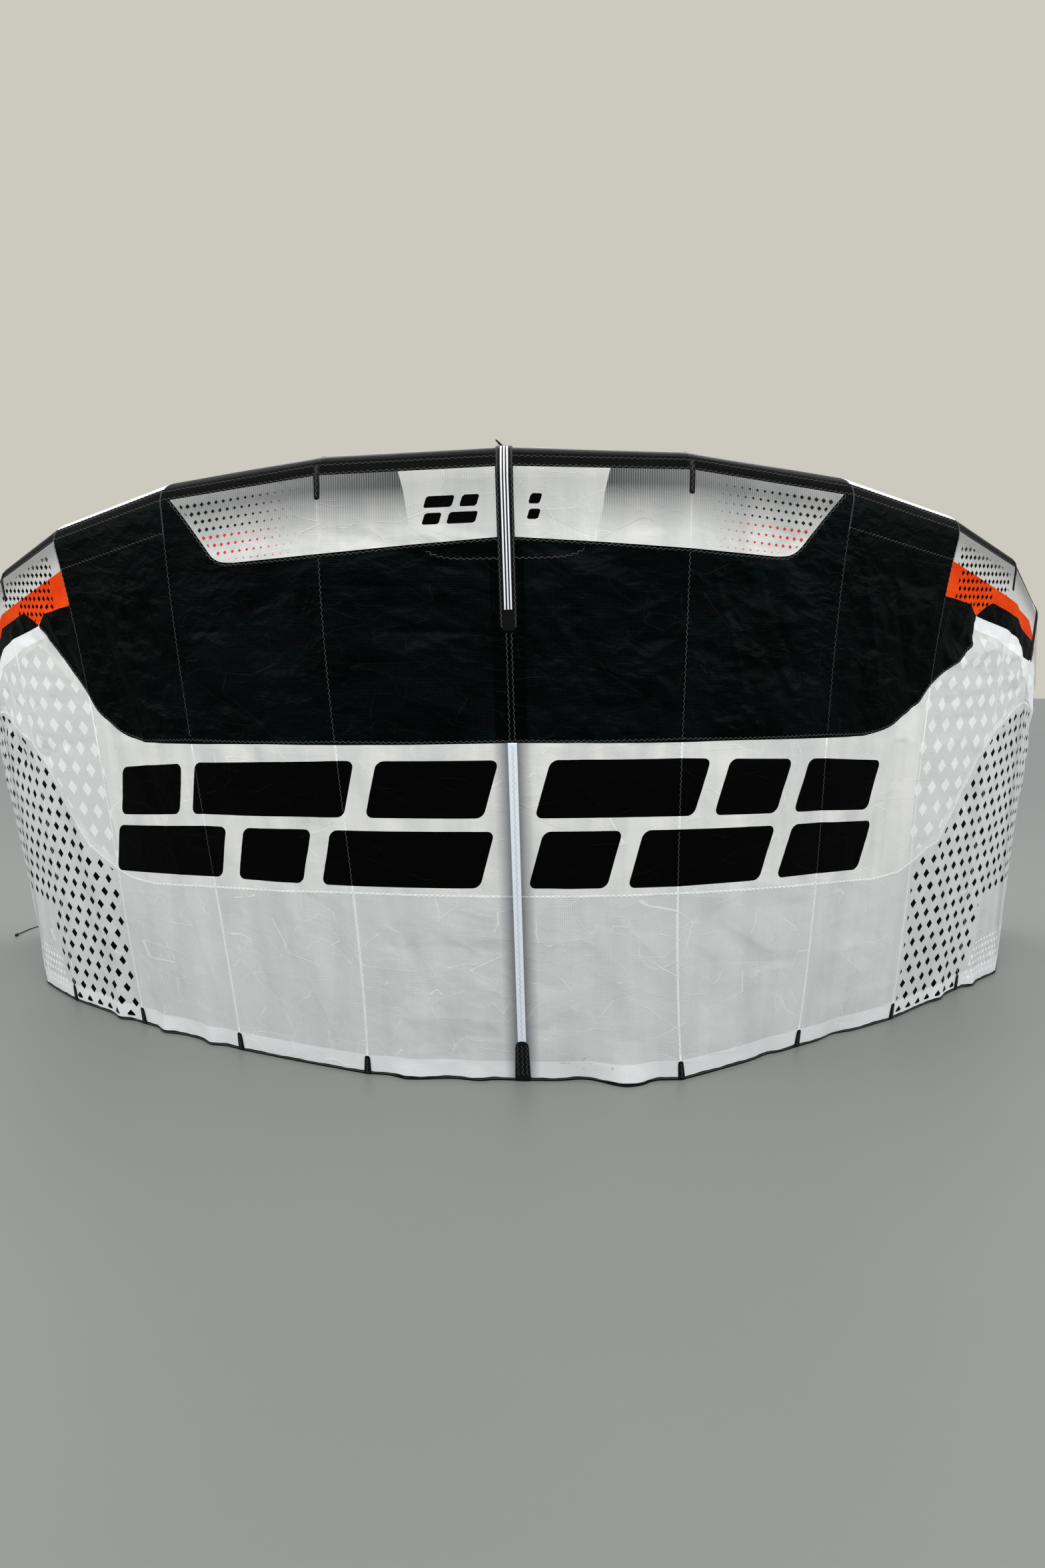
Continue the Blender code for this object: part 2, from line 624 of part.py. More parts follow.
def make_knot(route):
    """Two stopper knots close together, as one turned shape at the line's end."""
    along = route[-1] - route[-2]
    along = Vector((along.x, along.y, 0.0)).normalized()
    side = Vector((0, 0, 1)).cross(along)
    rings = []
    for row in KNOT_PROFILE:
        centre = route[-1] + along * (GAP + row.along * KNOT_SPACING)
        ring = []
        for j in range(KNOT_SIDES):
            turn = 2 * math.pi * j / KNOT_SIDES
            radial = side * math.cos(turn) + Vector((0, 0, math.sin(turn)))
            ring.append(centre + radial * KNOT_RADIUS * row.radius)
        rings.append(ring)
    make_loft("pigtail_knot", rings, "black_line")


make_knot(make_pigtail())
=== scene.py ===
"""Looks of an inflatable leading-edge kite that stands on its trailing edge.

Frame: metres, +Z up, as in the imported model. A place on the canopy is (s, v): s in ribs along the
span, 0 at the centre strut and 8 at each tip, v from 0 at the trailing edge to 1 where the cloth
first touches the leading edge tube, and on round the tube above that. Flat sizes on the cloth are
(u, h): metres along the span from the centre, and metres up from the trailing edge.
"""

import math
from collections import namedtuple

import bpy
import numpy as np
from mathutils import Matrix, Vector


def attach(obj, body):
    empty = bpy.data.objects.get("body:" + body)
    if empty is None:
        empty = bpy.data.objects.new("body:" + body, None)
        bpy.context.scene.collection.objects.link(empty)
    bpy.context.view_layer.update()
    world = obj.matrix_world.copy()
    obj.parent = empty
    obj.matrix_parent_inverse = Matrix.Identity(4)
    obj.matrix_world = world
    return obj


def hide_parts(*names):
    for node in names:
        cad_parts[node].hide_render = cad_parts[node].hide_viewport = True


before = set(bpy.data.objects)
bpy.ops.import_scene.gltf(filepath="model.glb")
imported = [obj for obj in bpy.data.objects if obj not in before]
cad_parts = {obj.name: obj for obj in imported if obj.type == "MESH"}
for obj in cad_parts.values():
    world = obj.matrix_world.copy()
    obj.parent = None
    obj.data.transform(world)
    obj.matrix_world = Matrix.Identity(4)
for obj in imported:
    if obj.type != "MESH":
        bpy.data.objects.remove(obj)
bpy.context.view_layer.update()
BODY = "root"

# ---------------------------------------------------------------- driving sizes
TIP_RIB = 8
OUTER_STRUT_RIB = 5
CLOTH_OFF = 0.0016          # middle of the cloth outside the tube's surface
ON_CLOTH = 0.0020           # underside of what is sewn on the cloth
LAP_ANGLE = math.radians(46)
MID_CAMBER = 0.020
BULGE_SHARE = 0.6           # how far a bay's cloth goes towards a round arc, and at most
BULGE_MOST = 0.010
BAND_V = 1.015              # lower edge of the black band along the leading edge
RIPSTOP = 0.0063            # spacing of the cloth's reinforcing threads
BAND_WEAVE = 0.0032
TE_BAND = 0.062             # height of the doubled cloth above the trailing edge
BINDING_HEIGHT = 0.010

# One row for each rib: trailing edge on the floor, axis of the leading edge tube, radius of the
# tube, and how far the seam sways to the right at one third and two thirds of the chord.
Rib = namedtuple("Rib", "te_x te_y le_x le_y le_z tube_r sway_low sway_high")
RIBS = [
    Rib(-1.935, 1.755, -2.035, 1.695, 0.580, 0.042, 0.00, 0.00),
    Rib(-1.940, 1.535, -2.055, 1.515, 0.800, 0.050, 0.00, 0.00),
    Rib(-1.890, 1.265, -2.022, 1.305, 1.060, 0.057, 0.00, 0.00),
    Rib(-1.785, 0.970, -1.925, 1.075, 1.330, 0.064, 0.05, 0.06),
    Rib(-1.604, 0.765, -1.729, 0.806, 1.481, 0.070, 0.02, 0.02),
    Rib(-1.284, 0.516, -1.448, 0.536, 1.598, 0.075, 0.01, 0.03),
    Rib(-0.901, 0.266, -1.047, 0.306, 1.700, 0.080, -0.01, -0.02),
    Rib(-0.473, 0.061, -0.563, 0.116, 1.755, 0.084, 0.01, -0.01),
    Rib(0.000, 0.006, -0.053, 0.046, 1.774, 0.085, 0.00, 0.00),
    Rib(0.478, 0.012, 0.457, 0.116, 1.768, 0.084, -0.03, -0.02),
    Rib(0.881, 0.293, 0.949, 0.306, 1.716, 0.080, 0.01, -0.01),
    Rib(1.262, 0.561, 1.351, 0.566, 1.629, 0.075, -0.01, -0.04),
    Rib(1.595, 0.891, 1.649, 0.856, 1.521, 0.070, 0.00, 0.00),
    Rib(1.820, 1.101, 1.848, 1.136, 1.366, 0.064, -0.05, -0.06),
    Rib(1.940, 1.411, 1.960, 1.376, 1.100, 0.057, 0.00, 0.00),
    Rib(1.960, 1.676, 2.000, 1.576, 0.830, 0.050, 0.00, 0.00),
    Rib(1.940, 1.876, 1.980, 1.736, 0.600, 0.042, 0.00, 0.00),
]

# Waves in the trailing edge where the cloth meets the floor: place, outward size, half width.
Wave = namedtuple("Wave", "s out half_width")
WAVES = [
    Wave(-3.25, 0.022, 0.06), Wave(-2.75, 0.024, 0.06), Wave(-2.25, 0.020, 0.05),
    Wave(-0.72, 0.026, 0.10), Wave(-0.28, 0.014, 0.05), Wave(0.38, -0.014, 0.05),
    Wave(0.62, 0.048, 0.06), Wave(0.76, 0.016, 0.05), Wave(1.75, -0.012, 0.06),
    Wave(2.40, -0.018, 0.06), Wave(3.68, 0.014, 0.05), Wave(4.28, 0.018, 0.06),
]
WAVE_REACH = 0.16

# Soft folds of the cloth: from (s0, v0) to (s1, v1), outward size, half width.
Fold = namedtuple("Fold", "s0 v0 s1 v1 out half_width")
FOLDS = [
    Fold(-2.92, 0.88, -2.45, 0.50, -0.010, 0.035), Fold(-2.70, 0.90, -2.20, 0.55, 0.007, 0.035),
    Fold(-1.95, 0.66, -1.55, 0.65, -0.007, 0.030), Fold(-1.50, 0.80, -1.10, 0.55, 0.006, 0.040),
    Fold(-0.90, 0.74, -0.15, 0.78, -0.007, 0.035), Fold(-1.50, 0.34, -1.15, 0.06, 0.008, 0.040),
    Fold(-0.80, 0.30, -0.45, 0.08, -0.007, 0.035), Fold(0.10, 0.82, 0.50, 0.50, -0.008, 0.035),
    Fold(0.55, 0.72, 1.30, 0.60, 0.007, 0.035), Fold(1.15, 0.30, 1.75, 0.14, -0.007, 0.040),
    Fold(0.30, 0.36, 0.75, 0.10, 0.007, 0.040), Fold(2.10, 0.92, 2.35, 0.60, -0.008, 0.035),
    Fold(3.10, 0.55, 3.60, 0.15, 0.007, 0.040), Fold(-3.60, 0.55, -3.20, 0.12, 0.007, 0.040),
]
# Sharp creases pressed in by packing, on top of the soft folds.
CREASES = [
    Fold(-2.93, 0.94, -2.60, 0.62, 0.0080, 0.012), Fold(-2.80, 0.90, -2.50, 0.60, -0.0090, 0.012),
    Fold(-2.55, 0.92, -2.35, 0.72, 0.0070, 0.012), Fold(-2.30, 0.88, -2.10, 0.72, -0.0070, 0.012),
    Fold(-1.93, 0.785, -1.62, 0.782, -0.0090, 0.010), Fold(-1.90, 0.76, -1.70, 0.80, 0.0060, 0.010),
    Fold(-1.72, 0.87, -1.45, 0.70, 0.0060, 0.012), Fold(-1.55, 0.74, -1.30, 0.66, 0.0060, 0.012),
    Fold(-0.86, 0.84, -0.66, 0.76, -0.0065, 0.011), Fold(-0.70, 0.80, -0.40, 0.765, 0.0070, 0.011),
    Fold(-0.66, 0.765, -0.12, 0.757, -0.0080, 0.010), Fold(0.10, 0.85, 0.42, 0.70, 0.0065, 0.011),
    Fold(0.20, 0.76, 0.55, 0.62, -0.0060, 0.011), Fold(0.62, 0.78, 1.00, 0.82, 0.0060, 0.011),
    Fold(0.70, 0.70, 1.25, 0.80, 0.0075, 0.012), Fold(0.90, 0.74, 1.45, 0.83, -0.0065, 0.011),
    Fold(1.15, 0.86, 1.40, 0.66, 0.0065, 0.012), Fold(1.50, 0.84, 1.80, 0.66, -0.0060, 0.011),
    Fold(2.15, 0.93, 2.45, 0.70, 0.0070, 0.012), Fold(2.30, 0.80, 2.75, 0.78, -0.0060, 0.011),
    Fold(2.45, 0.90, 2.85, 0.66, -0.0065, 0.012), Fold(-2.20, 0.66, -1.85, 0.60, -0.0050, 0.011),
    Fold(-0.55, 0.66, -0.10, 0.61, 0.0045, 0.011), Fold(0.35, 0.62, 0.90, 0.66, -0.0050, 0.011),
    Fold(-0.85, 0.30, -0.55, 0.12, 0.0025, 0.008), Fold(-0.45, 0.26, -0.20, 0.22, 0.0025, 0.008),
    Fold(-1.60, 0.30, -1.20, 0.05, 0.0030, 0.010), Fold(-1.85, 0.28, -1.60, 0.06, -0.0025, 0.010),
    Fold(0.55, 0.30, 0.95, 0.20, 0.0030, 0.010), Fold(0.95, 0.22, 1.30, 0.08, -0.0025, 0.010),
    Fold(1.30, 0.27, 1.70, 0.20, 0.0030, 0.010), Fold(-2.40, 0.45, -2.10, 0.05, 0.0035, 0.012),
    Fold(3.15, 0.50, 3.45, 0.12, 0.0030, 0.010), Fold(3.45, 0.78, 3.70, 0.40, -0.0030, 0.012),
    Fold(-3.45, 0.78, -3.60, 0.42, -0.0030, 0.012), Fold(-3.30, 0.34, -3.50, 0.06, 0.0030, 0.010),
]
FLAT_BESIDE_RIB = 0.13      # soft folds keep this far from a rib, and fade in over as much again
CREASES_FROM_RIB = 0.05     # the same for creases and crumples, which fade in over CREASES_FADE
CREASES_FADE = 0.10
FOLDS_END = 0.95            # chord place where all of them end below the leading edge
FOLDS_FADE = 0.06
FOOT_FADE = 0.05            # height over which creases and crumples fade in from the trailing edge
BLACK_FROM_V = 0.575        # crumples grow from here, over BLACK_GROW_V, to their size on black
BLACK_GROW_V = 0.02
UNEVEN_CELL = 0.30          # size of the patches in which the cloth is more and less crumpled
UNEVEN_SEED = 21
BULGE_FADE_TOP = 0.10       # chord places over which a bay's curve fades towards its edges
BULGE_FADE_FOOT = 0.25


# ---------------------------------------------------------------- the kite's surface
def unit(vectors):
    return vectors / np.linalg.norm(vectors, axis=-1, keepdims=True)


def column(values):
    return np.asarray(values)[..., None]


def held(share):
    """A share kept between 0 and 1."""
    return np.clip(share, 0.0, 1.0)


TABLE = np.array(RIBS)
TE = np.column_stack([TABLE[:, 0], TABLE[:, 1], np.zeros(len(RIBS))])
LE = TABLE[:, 2:5]
TUBE_R, SWAY_LOW, SWAY_HIGH = TABLE[:, 5:].T
CHORD = np.linalg.norm(TE - LE, axis=1)
AHEAD = unit(np.diff(LE, axis=0))
SPAN = unit(np.vstack([AHEAD[:1], AHEAD]) + np.vstack([AHEAD, AHEAD[-1:]]))
DOWN = TE - LE
DOWN = unit(DOWN - SPAN * column((DOWN * SPAN).sum(axis=1)))
OUT = np.cross(DOWN, SPAN)
MIDDLE = (TE + LE) / 2
BAY = np.linalg.norm(np.diff(MIDDLE, axis=0), axis=1)
RIB_S = np.arange(-TIP_RIB, TIP_RIB + 1)
RIB_U = np.concatenate([[0.0], np.cumsum(BAY)])
RIB_U = RIB_U - RIB_U[TIP_RIB]
GAP_BY_RIB = np.concatenate([BAY[TIP_RIB:TIP_RIB + 1], BAY[TIP_RIB:]])     # inside ribs 0 to 8, right
LAP_V = 1 + (LAP_ANGLE + np.arcsin(TUBE_R / CHORD)) * TUBE_R / CHORD
MIDDLE_AHEAD = unit(np.diff(MIDDLE, axis=0))
RIB_TURN = np.arccos(np.clip((MIDDLE_AHEAD[1:] * MIDDLE_AHEAD[:-1]).sum(axis=1), -1, 1))
RIB_TURN = np.concatenate([RIB_TURN[:1], RIB_TURN, RIB_TURN[-1:]])
# An arc over a bay turns by the mean of what its two ribs do, and rises by an eighth of that.
BAY_SAG = np.minimum(BULGE_SHARE * BAY * (RIB_TURN[:-1] + RIB_TURN[1:]) / 16, BULGE_MOST)


def round_tube(i, turn):
    """Directions from the tube's axis at row i, turn being the angle from its front over its top."""
    return OUT[i] * column(np.cos(turn)) - DOWN[i] * column(np.sin(turn))


def rib_point(k, v, off):
    """Points of ribs k at chord places v, off metres outside the tube's surface."""
    i = k + TIP_RIB
    radius = TUBE_R[i] + off
    lean = np.arcsin(radius / CHORD[i])
    turn = (v - 1) * CHORD[i] / TUBE_R[i] - lean
    on_tube = LE[i] + column(radius) * round_tube(i, turn)
    touch = LE[i] + column(radius) * round_tube(i, -lean)
    camber = np.where(np.abs(k) <= 1, MID_CAMBER * np.sin(math.pi * v), 0.0)
    # Cubics that are 1 at one third of the chord, and 0 at the other third and at both ends.
    at_low_third = 4.5 * v * (1 - v) * (2 - 3 * v)
    at_high_third = 4.5 * v * (1 - v) * (3 * v - 1)
    sway = SWAY_LOW[i] * at_low_third + SWAY_HIGH[i] * at_high_third
    below = TE[i] * column(1 - v) + touch * column(v)
    below = below + OUT[i] * column(off * (1 - v) + camber) + SPAN[i] * column(sway)
    return np.where(column(v > 1), on_tube, below)


def fold_sum(folds, s, v, width, depth, sharp):
    """Outward size of folds in cloth of this bay width and chord; sharp ones come to a ridge."""
    total = np.zeros_like(s)
    for fold in folds:
        along_u = (fold.s1 - fold.s0) * width
        along_h = (fold.v1 - fold.v0) * depth
        here_u = (s - fold.s0) * width
        here_h = (v - fold.v0) * depth
        t = held((here_u * along_u + here_h * along_h) / (along_u ** 2 + along_h ** 2))
        across = np.hypot(here_u - along_u * t, here_h - along_h * t) / fold.half_width
        shape = np.exp(-across) if sharp else np.exp(-across * across)
        total += fold.out * np.sin(math.pi * (0.1 + 0.8 * t)) * shape
    return total


def facet_noise(p, q, seed):
    """A random height at each whole (p, q), and flat triangles between them; from -1 to 1."""
    size = 64
    table = np.random.default_rng(seed).uniform(-1.0, 1.0, (size, size))
    i, j = np.floor(p).astype(int), np.floor(q).astype(int)
    x, y = p - i, q - j
    corners = ((0, 0), (1, 0), (0, 1), (1, 1))
    low, right, up, far = (table[(i + a) % size, (j + b) % size] for a, b in corners)
    return np.where(x + y < 1, low + x * (right - low) + y * (up - low),
                    far + (1 - x) * (up - far) + (1 - y) * (right - far))


# Nets of creases that crumple the cloth: size of a facet, turn of the net, height of its facets on
# the black cloth and on the white, and a seed.
Net = namedtuple("Net", "cell turn black white seed")
NETS = [
    Net(0.150, math.radians(28), 0.0085, 0.0045, 3),
    Net(0.062, math.radians(-17), 0.0060, 0.0018, 5),
    Net(0.028, math.radians(41), 0.0022, 0.0006, 8),
]
NET_JITTER = 0.55
NET_FLATTER = 1.25          # facets are wider than high by the square of this


def net_place(net, u, h):
    """Where flat places lie in a net, in facets; creases run where p, q or p + q is whole."""
    u, h = u / NET_FLATTER, h * NET_FLATTER
    p = (u * math.cos(net.turn) + h * math.sin(net.turn)) / net.cell
    q = (h * math.cos(net.turn) - u * math.sin(net.turn)) / net.cell
    x, y = (NET_JITTER * facet_noise(p * 1.3 + 7.3, q * 1.3 + 2.1, net.seed + add) for add in (100, 200))
    return p + x, q + y


def crumple_out(v, u, h):
    """Outward size of the crumpled facets."""
    dark = held((v - BLACK_FROM_V) / BLACK_GROW_V)
    total = np.zeros_like(u)
    for net in NETS:
        size = net.white + (net.black - net.white) * dark
        total += facet_noise(*net_place(net, u, h), net.seed) * size
    uneven = 0.75 + 0.5 * facet_noise(u / UNEVEN_CELL, h / UNEVEN_CELL, UNEVEN_SEED)
    return total * uneven


def bulge(s, v):
    """Outward size of the curve that each bay's cloth takes between its ribs."""
    left = np.clip(np.floor(s).astype(int), -TIP_RIB, TIP_RIB - 1) + TIP_RIB
    t = s - (left - TIP_RIB)
    height = 4 * t * (1 - t) * BAY_SAG[left]
    return height * held((1.0 - v) / BULGE_FADE_TOP) * (0.5 + 0.5 * held(v / BULGE_FADE_FOOT))


def relief(s, v):
    """Outward size of the waves, folds, creases and crumples at (s, v)."""
    side = np.minimum(np.abs(s).astype(int), TIP_RIB - 1)
    width = 0.5 * (GAP_BY_RIB[side] + GAP_BY_RIB[side + 1])
    depth = CHORD[np.rint(s).astype(int) + TIP_RIB]
    soft = fold_sum(FOLDS, s, v, width, depth, sharp=False)
    for wave in WAVES:
        across = (s - wave.s) * width / wave.half_width
        soft += wave.out * np.exp(-across * across) * np.exp(-v * depth / WAVE_REACH)
    near_rib = np.where(np.abs(s) < OUTER_STRUT_RIB + 0.5, np.abs(s - np.rint(s)), 1.0)
    soft *= held((near_rib - FLAT_BESIDE_RIB) / FLAT_BESIDE_RIB)
    u, h = flat(s, v)
    sharp = fold_sum(CREASES, s, v, width, depth, sharp=True)
    sharp += crumple_out(v, u, h)
    sharp *= held((np.abs(s - np.rint(s)) - CREASES_FROM_RIB) / CREASES_FADE)
    fade_top = held((FOLDS_END - v) / FOLDS_FADE)
    fade_foot = held(h / FOOT_FADE)
    return soft * fade_top + sharp * fade_top * fade_foot + bulge(s, v)


def span_place(s):
    """Metres along the span from the centre to s."""
    return np.interp(s, RIB_S, RIB_U)


def flat(s, v):
    """Flat sizes (u, h) of the place (s, v)."""
    return span_place(s), v * np.interp(s, RIB_S, CHORD)


def unflat(u, h):
    """The place (s, v) of the flat sizes (u, h)."""
    s = np.interp(u, RIB_U, RIB_S)
    return s, h / np.interp(s, RIB_S, CHORD)


def surface(s, v, off=CLOTH_OFF, folded=True):
    """Points at (s, v), off metres outside the tube's and the cloth's inner face."""
    s, v = (np.array(x, float) for x in np.broadcast_arrays(s, v))
    k = np.clip(np.floor(s).astype(int), -TIP_RIB, TIP_RIB - 1)
    lift = off + (relief(s, v) if folded else 0.0) * np.ones_like(s)
    share = column(s - k)
    return rib_point(k, v, lift) * (1 - share) + rib_point(k + 1, v, lift) * share


def outward(s, v):
    """Outward directions at (s, v)."""
    step = 0.004
    across = surface(s + step, v, folded=False) - surface(s - step, v, folded=False)
    up = surface(s, v + step, folded=False) - surface(s, v - step, folded=False)
    return unit(np.cross(across, up))


def smooth(points, per_span=6):
    """A rounded line through a few points, as a Catmull-Rom curve."""
    p = np.array(points, float)
    p = np.vstack([2 * p[0] - p[1], p, 2 * p[-1] - p[-2]])
    line = []
    for a, b, c, d in zip(p, p[1:], p[2:], p[3:]):
        for t in np.arange(per_span) / per_span:
            line.append(b + (c - a) * (t / 2) + (2 * a - 5 * b + 4 * c - d) * (t * t / 2)
                        + (3 * b - a - 3 * c + d) * (t ** 3 / 2))
    line.append(p[-2])
    return np.array(line)


# ---------------------------------------------------------------- how the cloth is cut and printed
# Outer edge of the black panel, from its lower edge up to the leading edge patch: one row for
# each height, with its place on the left and on the right half.
Edge = namedtuple("Edge", "v left right")
BLACK_EDGE = [
    Edge(0.597, 2.46, 2.36), Edge(0.612, 2.65, 2.57), Edge(0.638, 2.80, 2.74),
    Edge(0.668, 2.93, 2.89), Edge(0.710, 3.02, 3.02), Edge(0.755, 3.15, 3.24),
    Edge(0.800, 3.29, 3.45), Edge(0.824, 3.36, 3.50), Edge(0.850, 3.43, 3.48),
    Edge(0.874, 3.50, 3.50),
]
BLACK_FOOT = [(1.34, 0.583), (0.50, 0.579), (0.0, 0.580), (-0.50, 0.579), (-1.46, 0.583)]
# The rest is alike on both halves, as (s, v) on the right one.
UPPER_CORNER = [(1.94, 1.016), (1.85, 0.980), (1.75, 0.938), (1.68, 0.910), (1.62, 0.899), (1.54, 0.895)]
UPPER_FOOT = [(1.00, 0.891), (0.50, 0.900), (0.0, 0.907)]
CENTRE_EDGE = [(0.56, 1.016), (0.53, 0.978), (0.51, 0.940), (0.47, 0.912), (0.42, 0.897)]
CENTRE_FOOT = [(0.42, 0.889), (0.36, 0.880), (0.25, 0.875), (0.0, 0.873)]
PATCH_TOP = [(3.0, 0.955), (3.45, 0.950), (4.00, 0.943), (4.21, 0.951), (4.30, 0.946), (4.70, 0.957),
             (7.30, 0.951)]
PATCH_FOOT = [(7.30, 0.950), (5.60, 0.922), (4.96, 0.921), (4.64, 0.911), (4.42, 0.908), (4.28, 0.922),
              (3.98, 0.913), (3.70, 0.914), (3.59, 0.896), (3.50, 0.875), (3.37, 0.890), (3.15, 0.887),
              (3.0, 0.883)]
BLACK_BELOW_PATCH = [(s, v + 0.001) for s, v in PATCH_FOOT]
TONGUE = [(3.46, 0.873), (4.00, 0.875), (4.34, 0.879), (4.46, 0.872), (4.58, 0.860), (4.74, 0.856),
          (4.92, 0.862), (5.04, 0.880), (5.10, 0.905), (5.02, 0.922), *BLACK_BELOW_PATCH[2:10]]
LOWER_SEAM = [(0.0, 0.324), (1.0, 0.326), (2.0, 0.318), (2.60, 0.316), (2.86, 0.325), (3.03, 0.345),
              (3.35, 0.390), (3.60, 0.480), (3.82, 0.575), (4.08, 0.645), (4.40, 0.688), (4.80, 0.738),
              (5.40, 0.800), (6.20, 0.850), (8.0, 0.880)]
UPPER_SEAM = [(2.0, 0.961), (3.0, 0.957)]
DOTS_ZONE = [(3.04, 0.012), (4.05, 0.012), (4.22, 0.120), (4.26, 0.235), (5.20, 0.265), (7.20, 0.420),
             (7.60, 0.865), (6.20, 0.838), (5.40, 0.788), (4.80, 0.726), (4.40, 0.676), (4.08, 0.633),
             (3.82, 0.563), (3.62, 0.470), (3.37, 0.380), (3.04, 0.335)]
DISCS_ZONE = [(2.96, 0.365), (3.10, 0.372), (3.33, 0.408), (3.58, 0.492), (3.80, 0.587), (4.06, 0.657),
              (4.38, 0.700), (4.78, 0.750), (5.20, 0.800), (4.60, 0.828), (3.58, 0.838), (3.30, 0.765),
              (2.98, 0.690)]
BRIGHT_ZONE = [(3.50, 0.875), (3.46, 0.845), (3.84, 0.845), (4.20, 0.838), (4.50, 0.840), (4.80, 0.812),
               (5.30, 0.800), (6.20, 0.852), (6.20, 0.900), (5.30, 0.905), (4.40, 0.885), (3.80, 0.885)]
RISE_ZONE = [(4.15, 0.018), (4.30, 0.112), (5.60, 0.135), (6.60, 0.018)]

ABOVE_CLOTH = 1.2           # chord place past the cloth's upper edge, to close outlines there

# Rounded slanting bars in staggered rows, and a few small ones above, as a plain dark print.
Bar = namedtuple("Bar", "s0 s1 v0 v1")
BAR_CORNER = 0.022
BAR_SLANT = 0.30
BARS = [
    Bar(-2.80, -2.18, 0.456, 0.552), Bar(-2.05, -0.95, 0.456, 0.552), Bar(-0.82, -0.13, 0.456, 0.552),
    Bar(0.17, 1.14, 0.456, 0.552), Bar(1.27, 1.70, 0.456, 0.552), Bar(1.83, 2.50, 0.456, 0.552),
    Bar(-2.95, -1.88, 0.338, 0.434), Bar(-1.75, -1.28, 0.338, 0.434), Bar(-1.15, -0.17, 0.338, 0.434),
    Bar(0.12, 0.60, 0.338, 0.434), Bar(0.73, 1.60, 0.338, 0.434), Bar(1.73, 2.46, 0.338, 0.434),
    Bar(-0.42, -0.27, 0.956, 0.974), Bar(-0.23, -0.14, 0.956, 0.974), Bar(-0.43, -0.34, 0.930, 0.948),
    Bar(-0.30, -0.15, 0.930, 0.948), Bar(0.13, 0.19, 0.958, 0.974), Bar(0.12, 0.18, 0.934, 0.950),
]


def mirrored(half):
    """A line from the left end to the right one, from its right half that starts at s = 0."""
    return [(-s, v) for s, v in half[:0:-1]] + list(half)


def inside_distance(outline, u, h):
    """How far each flat place is inside a closed outline of (s, v) points; negative outside."""
    corners = np.column_stack(flat(*np.array(outline).T))
    nearest = np.full(u.shape, np.inf)
    inside = np.zeros(u.shape, bool)
    for (u0, h0), (u1, h1) in zip(corners, np.roll(corners, -1, axis=0)):
        du, dh = u1 - u0, h1 - h0
        t = held(((u - u0) * du + (h - h0) * dh) / max(du * du + dh * dh, 1e-12))
        nearest = np.minimum(nearest, np.hypot(u - u0 - t * du, h - h0 - t * dh))
        if dh:
            inside ^= ((h0 > h) != (h1 > h)) & (u < u0 + (h - h0) * du / dh)
    return np.where(inside, nearest, -nearest)


def above_distance(line, u, h):
    """How far each flat place is above a line of (s, v) points from left to right."""
    line_u, line_h = flat(*np.array(line).T)
    rise = np.interp(u, line_u, line_h)
    slope = np.gradient(line_h, line_u)
    return (h - rise) / np.hypot(1.0, np.interp(u, line_u, slope))


def bar_distance(v, u, h):
    """How far each flat place is inside the nearest bar; negative outside."""
    best = np.full(u.shape, -1.0)
    chord = h / np.maximum(v, 1e-6)
    for bar in BARS:
        half_h = (bar.v1 - bar.v0) / 2 * chord
        beside_h = h - (bar.v0 + bar.v1) / 2 * chord
        u0, u1 = span_place((bar.s0, bar.s1))
        beside_u = u - (u0 + u1) / 2 - BAR_SLANT * beside_h
        corner = np.minimum(BAR_CORNER, 0.3 * half_h)
        reach_u = np.abs(beside_u) - (u1 - u0) / 2 + corner
        reach_h = np.abs(beside_h) - half_h + corner
        outside = np.hypot(np.maximum(reach_u, 0), np.maximum(reach_h, 0))
        best = np.maximum(best, corner - outside - np.minimum(np.maximum(reach_u, reach_h), 0))
    return best


def black_side(side):
    """The outer edge of the black panel, from its foot up; side is 1 on the right, -1 on the left."""
    return smooth([(row.right if side > 0 else -row.left, row.v) for row in BLACK_EDGE])


def black_outline():
    """All of the black cloth but its tongues: the large panel and the corners above it."""
    top = [*BLACK_BELOW_PATCH[10:], (3.0, ABOVE_CLOTH), (1.94, ABOVE_CLOTH)]
    top += [*smooth(UPPER_CORNER), *UPPER_FOOT]
    top += [(-s, v) for s, v in top[-2::-1]]
    return [*BLACK_FOOT, *black_side(-1), *top[::-1], *black_side(1)[::-1]]


def paint_distances(s, v):
    """For each place on the canopy, how far it is inside each printed or sewn area."""
    u, h = flat(s, v)
    right_u, right_h = flat(np.abs(s), v)
    top = ABOVE_CLOTH
    zones = {
        "upper": [(-1.0, top), (0.0, top), (1.94, top), *smooth(UPPER_CORNER), *UPPER_FOOT,
                  (-1.0, 0.891)],
        "centre": [(-0.5, top), (0.56, top), *smooth(CENTRE_EDGE), (-0.5, 0.897)],
        "patch": [(3.0, top), (8.1, top), (8.1, 0.951), *PATCH_TOP[::-1]],
        "orange": [*PATCH_TOP, *PATCH_FOOT],
        "dots": DOTS_ZONE,
        "discs": DISCS_ZONE,
        "rise": RISE_ZONE,
        "bright": BRIGHT_ZONE,
    }
    distances = {name: inside_distance(zone, right_u, right_h) for name, zone in zones.items()}
    tongue = inside_distance(TONGUE, right_u, right_h)
    distances["black"] = np.maximum(inside_distance(black_outline(), u, h), tongue)
    distances["seam"] = above_distance(mirrored(LOWER_SEAM), u, h)
    distances["bars"] = bar_distance(v, u, h)
    return distances


# ---------------------------------------------------------------- making meshes
def new_object(name, data):
    thing = bpy.data.objects.new(name, data)
    bpy.context.scene.collection.objects.link(thing)
    return thing


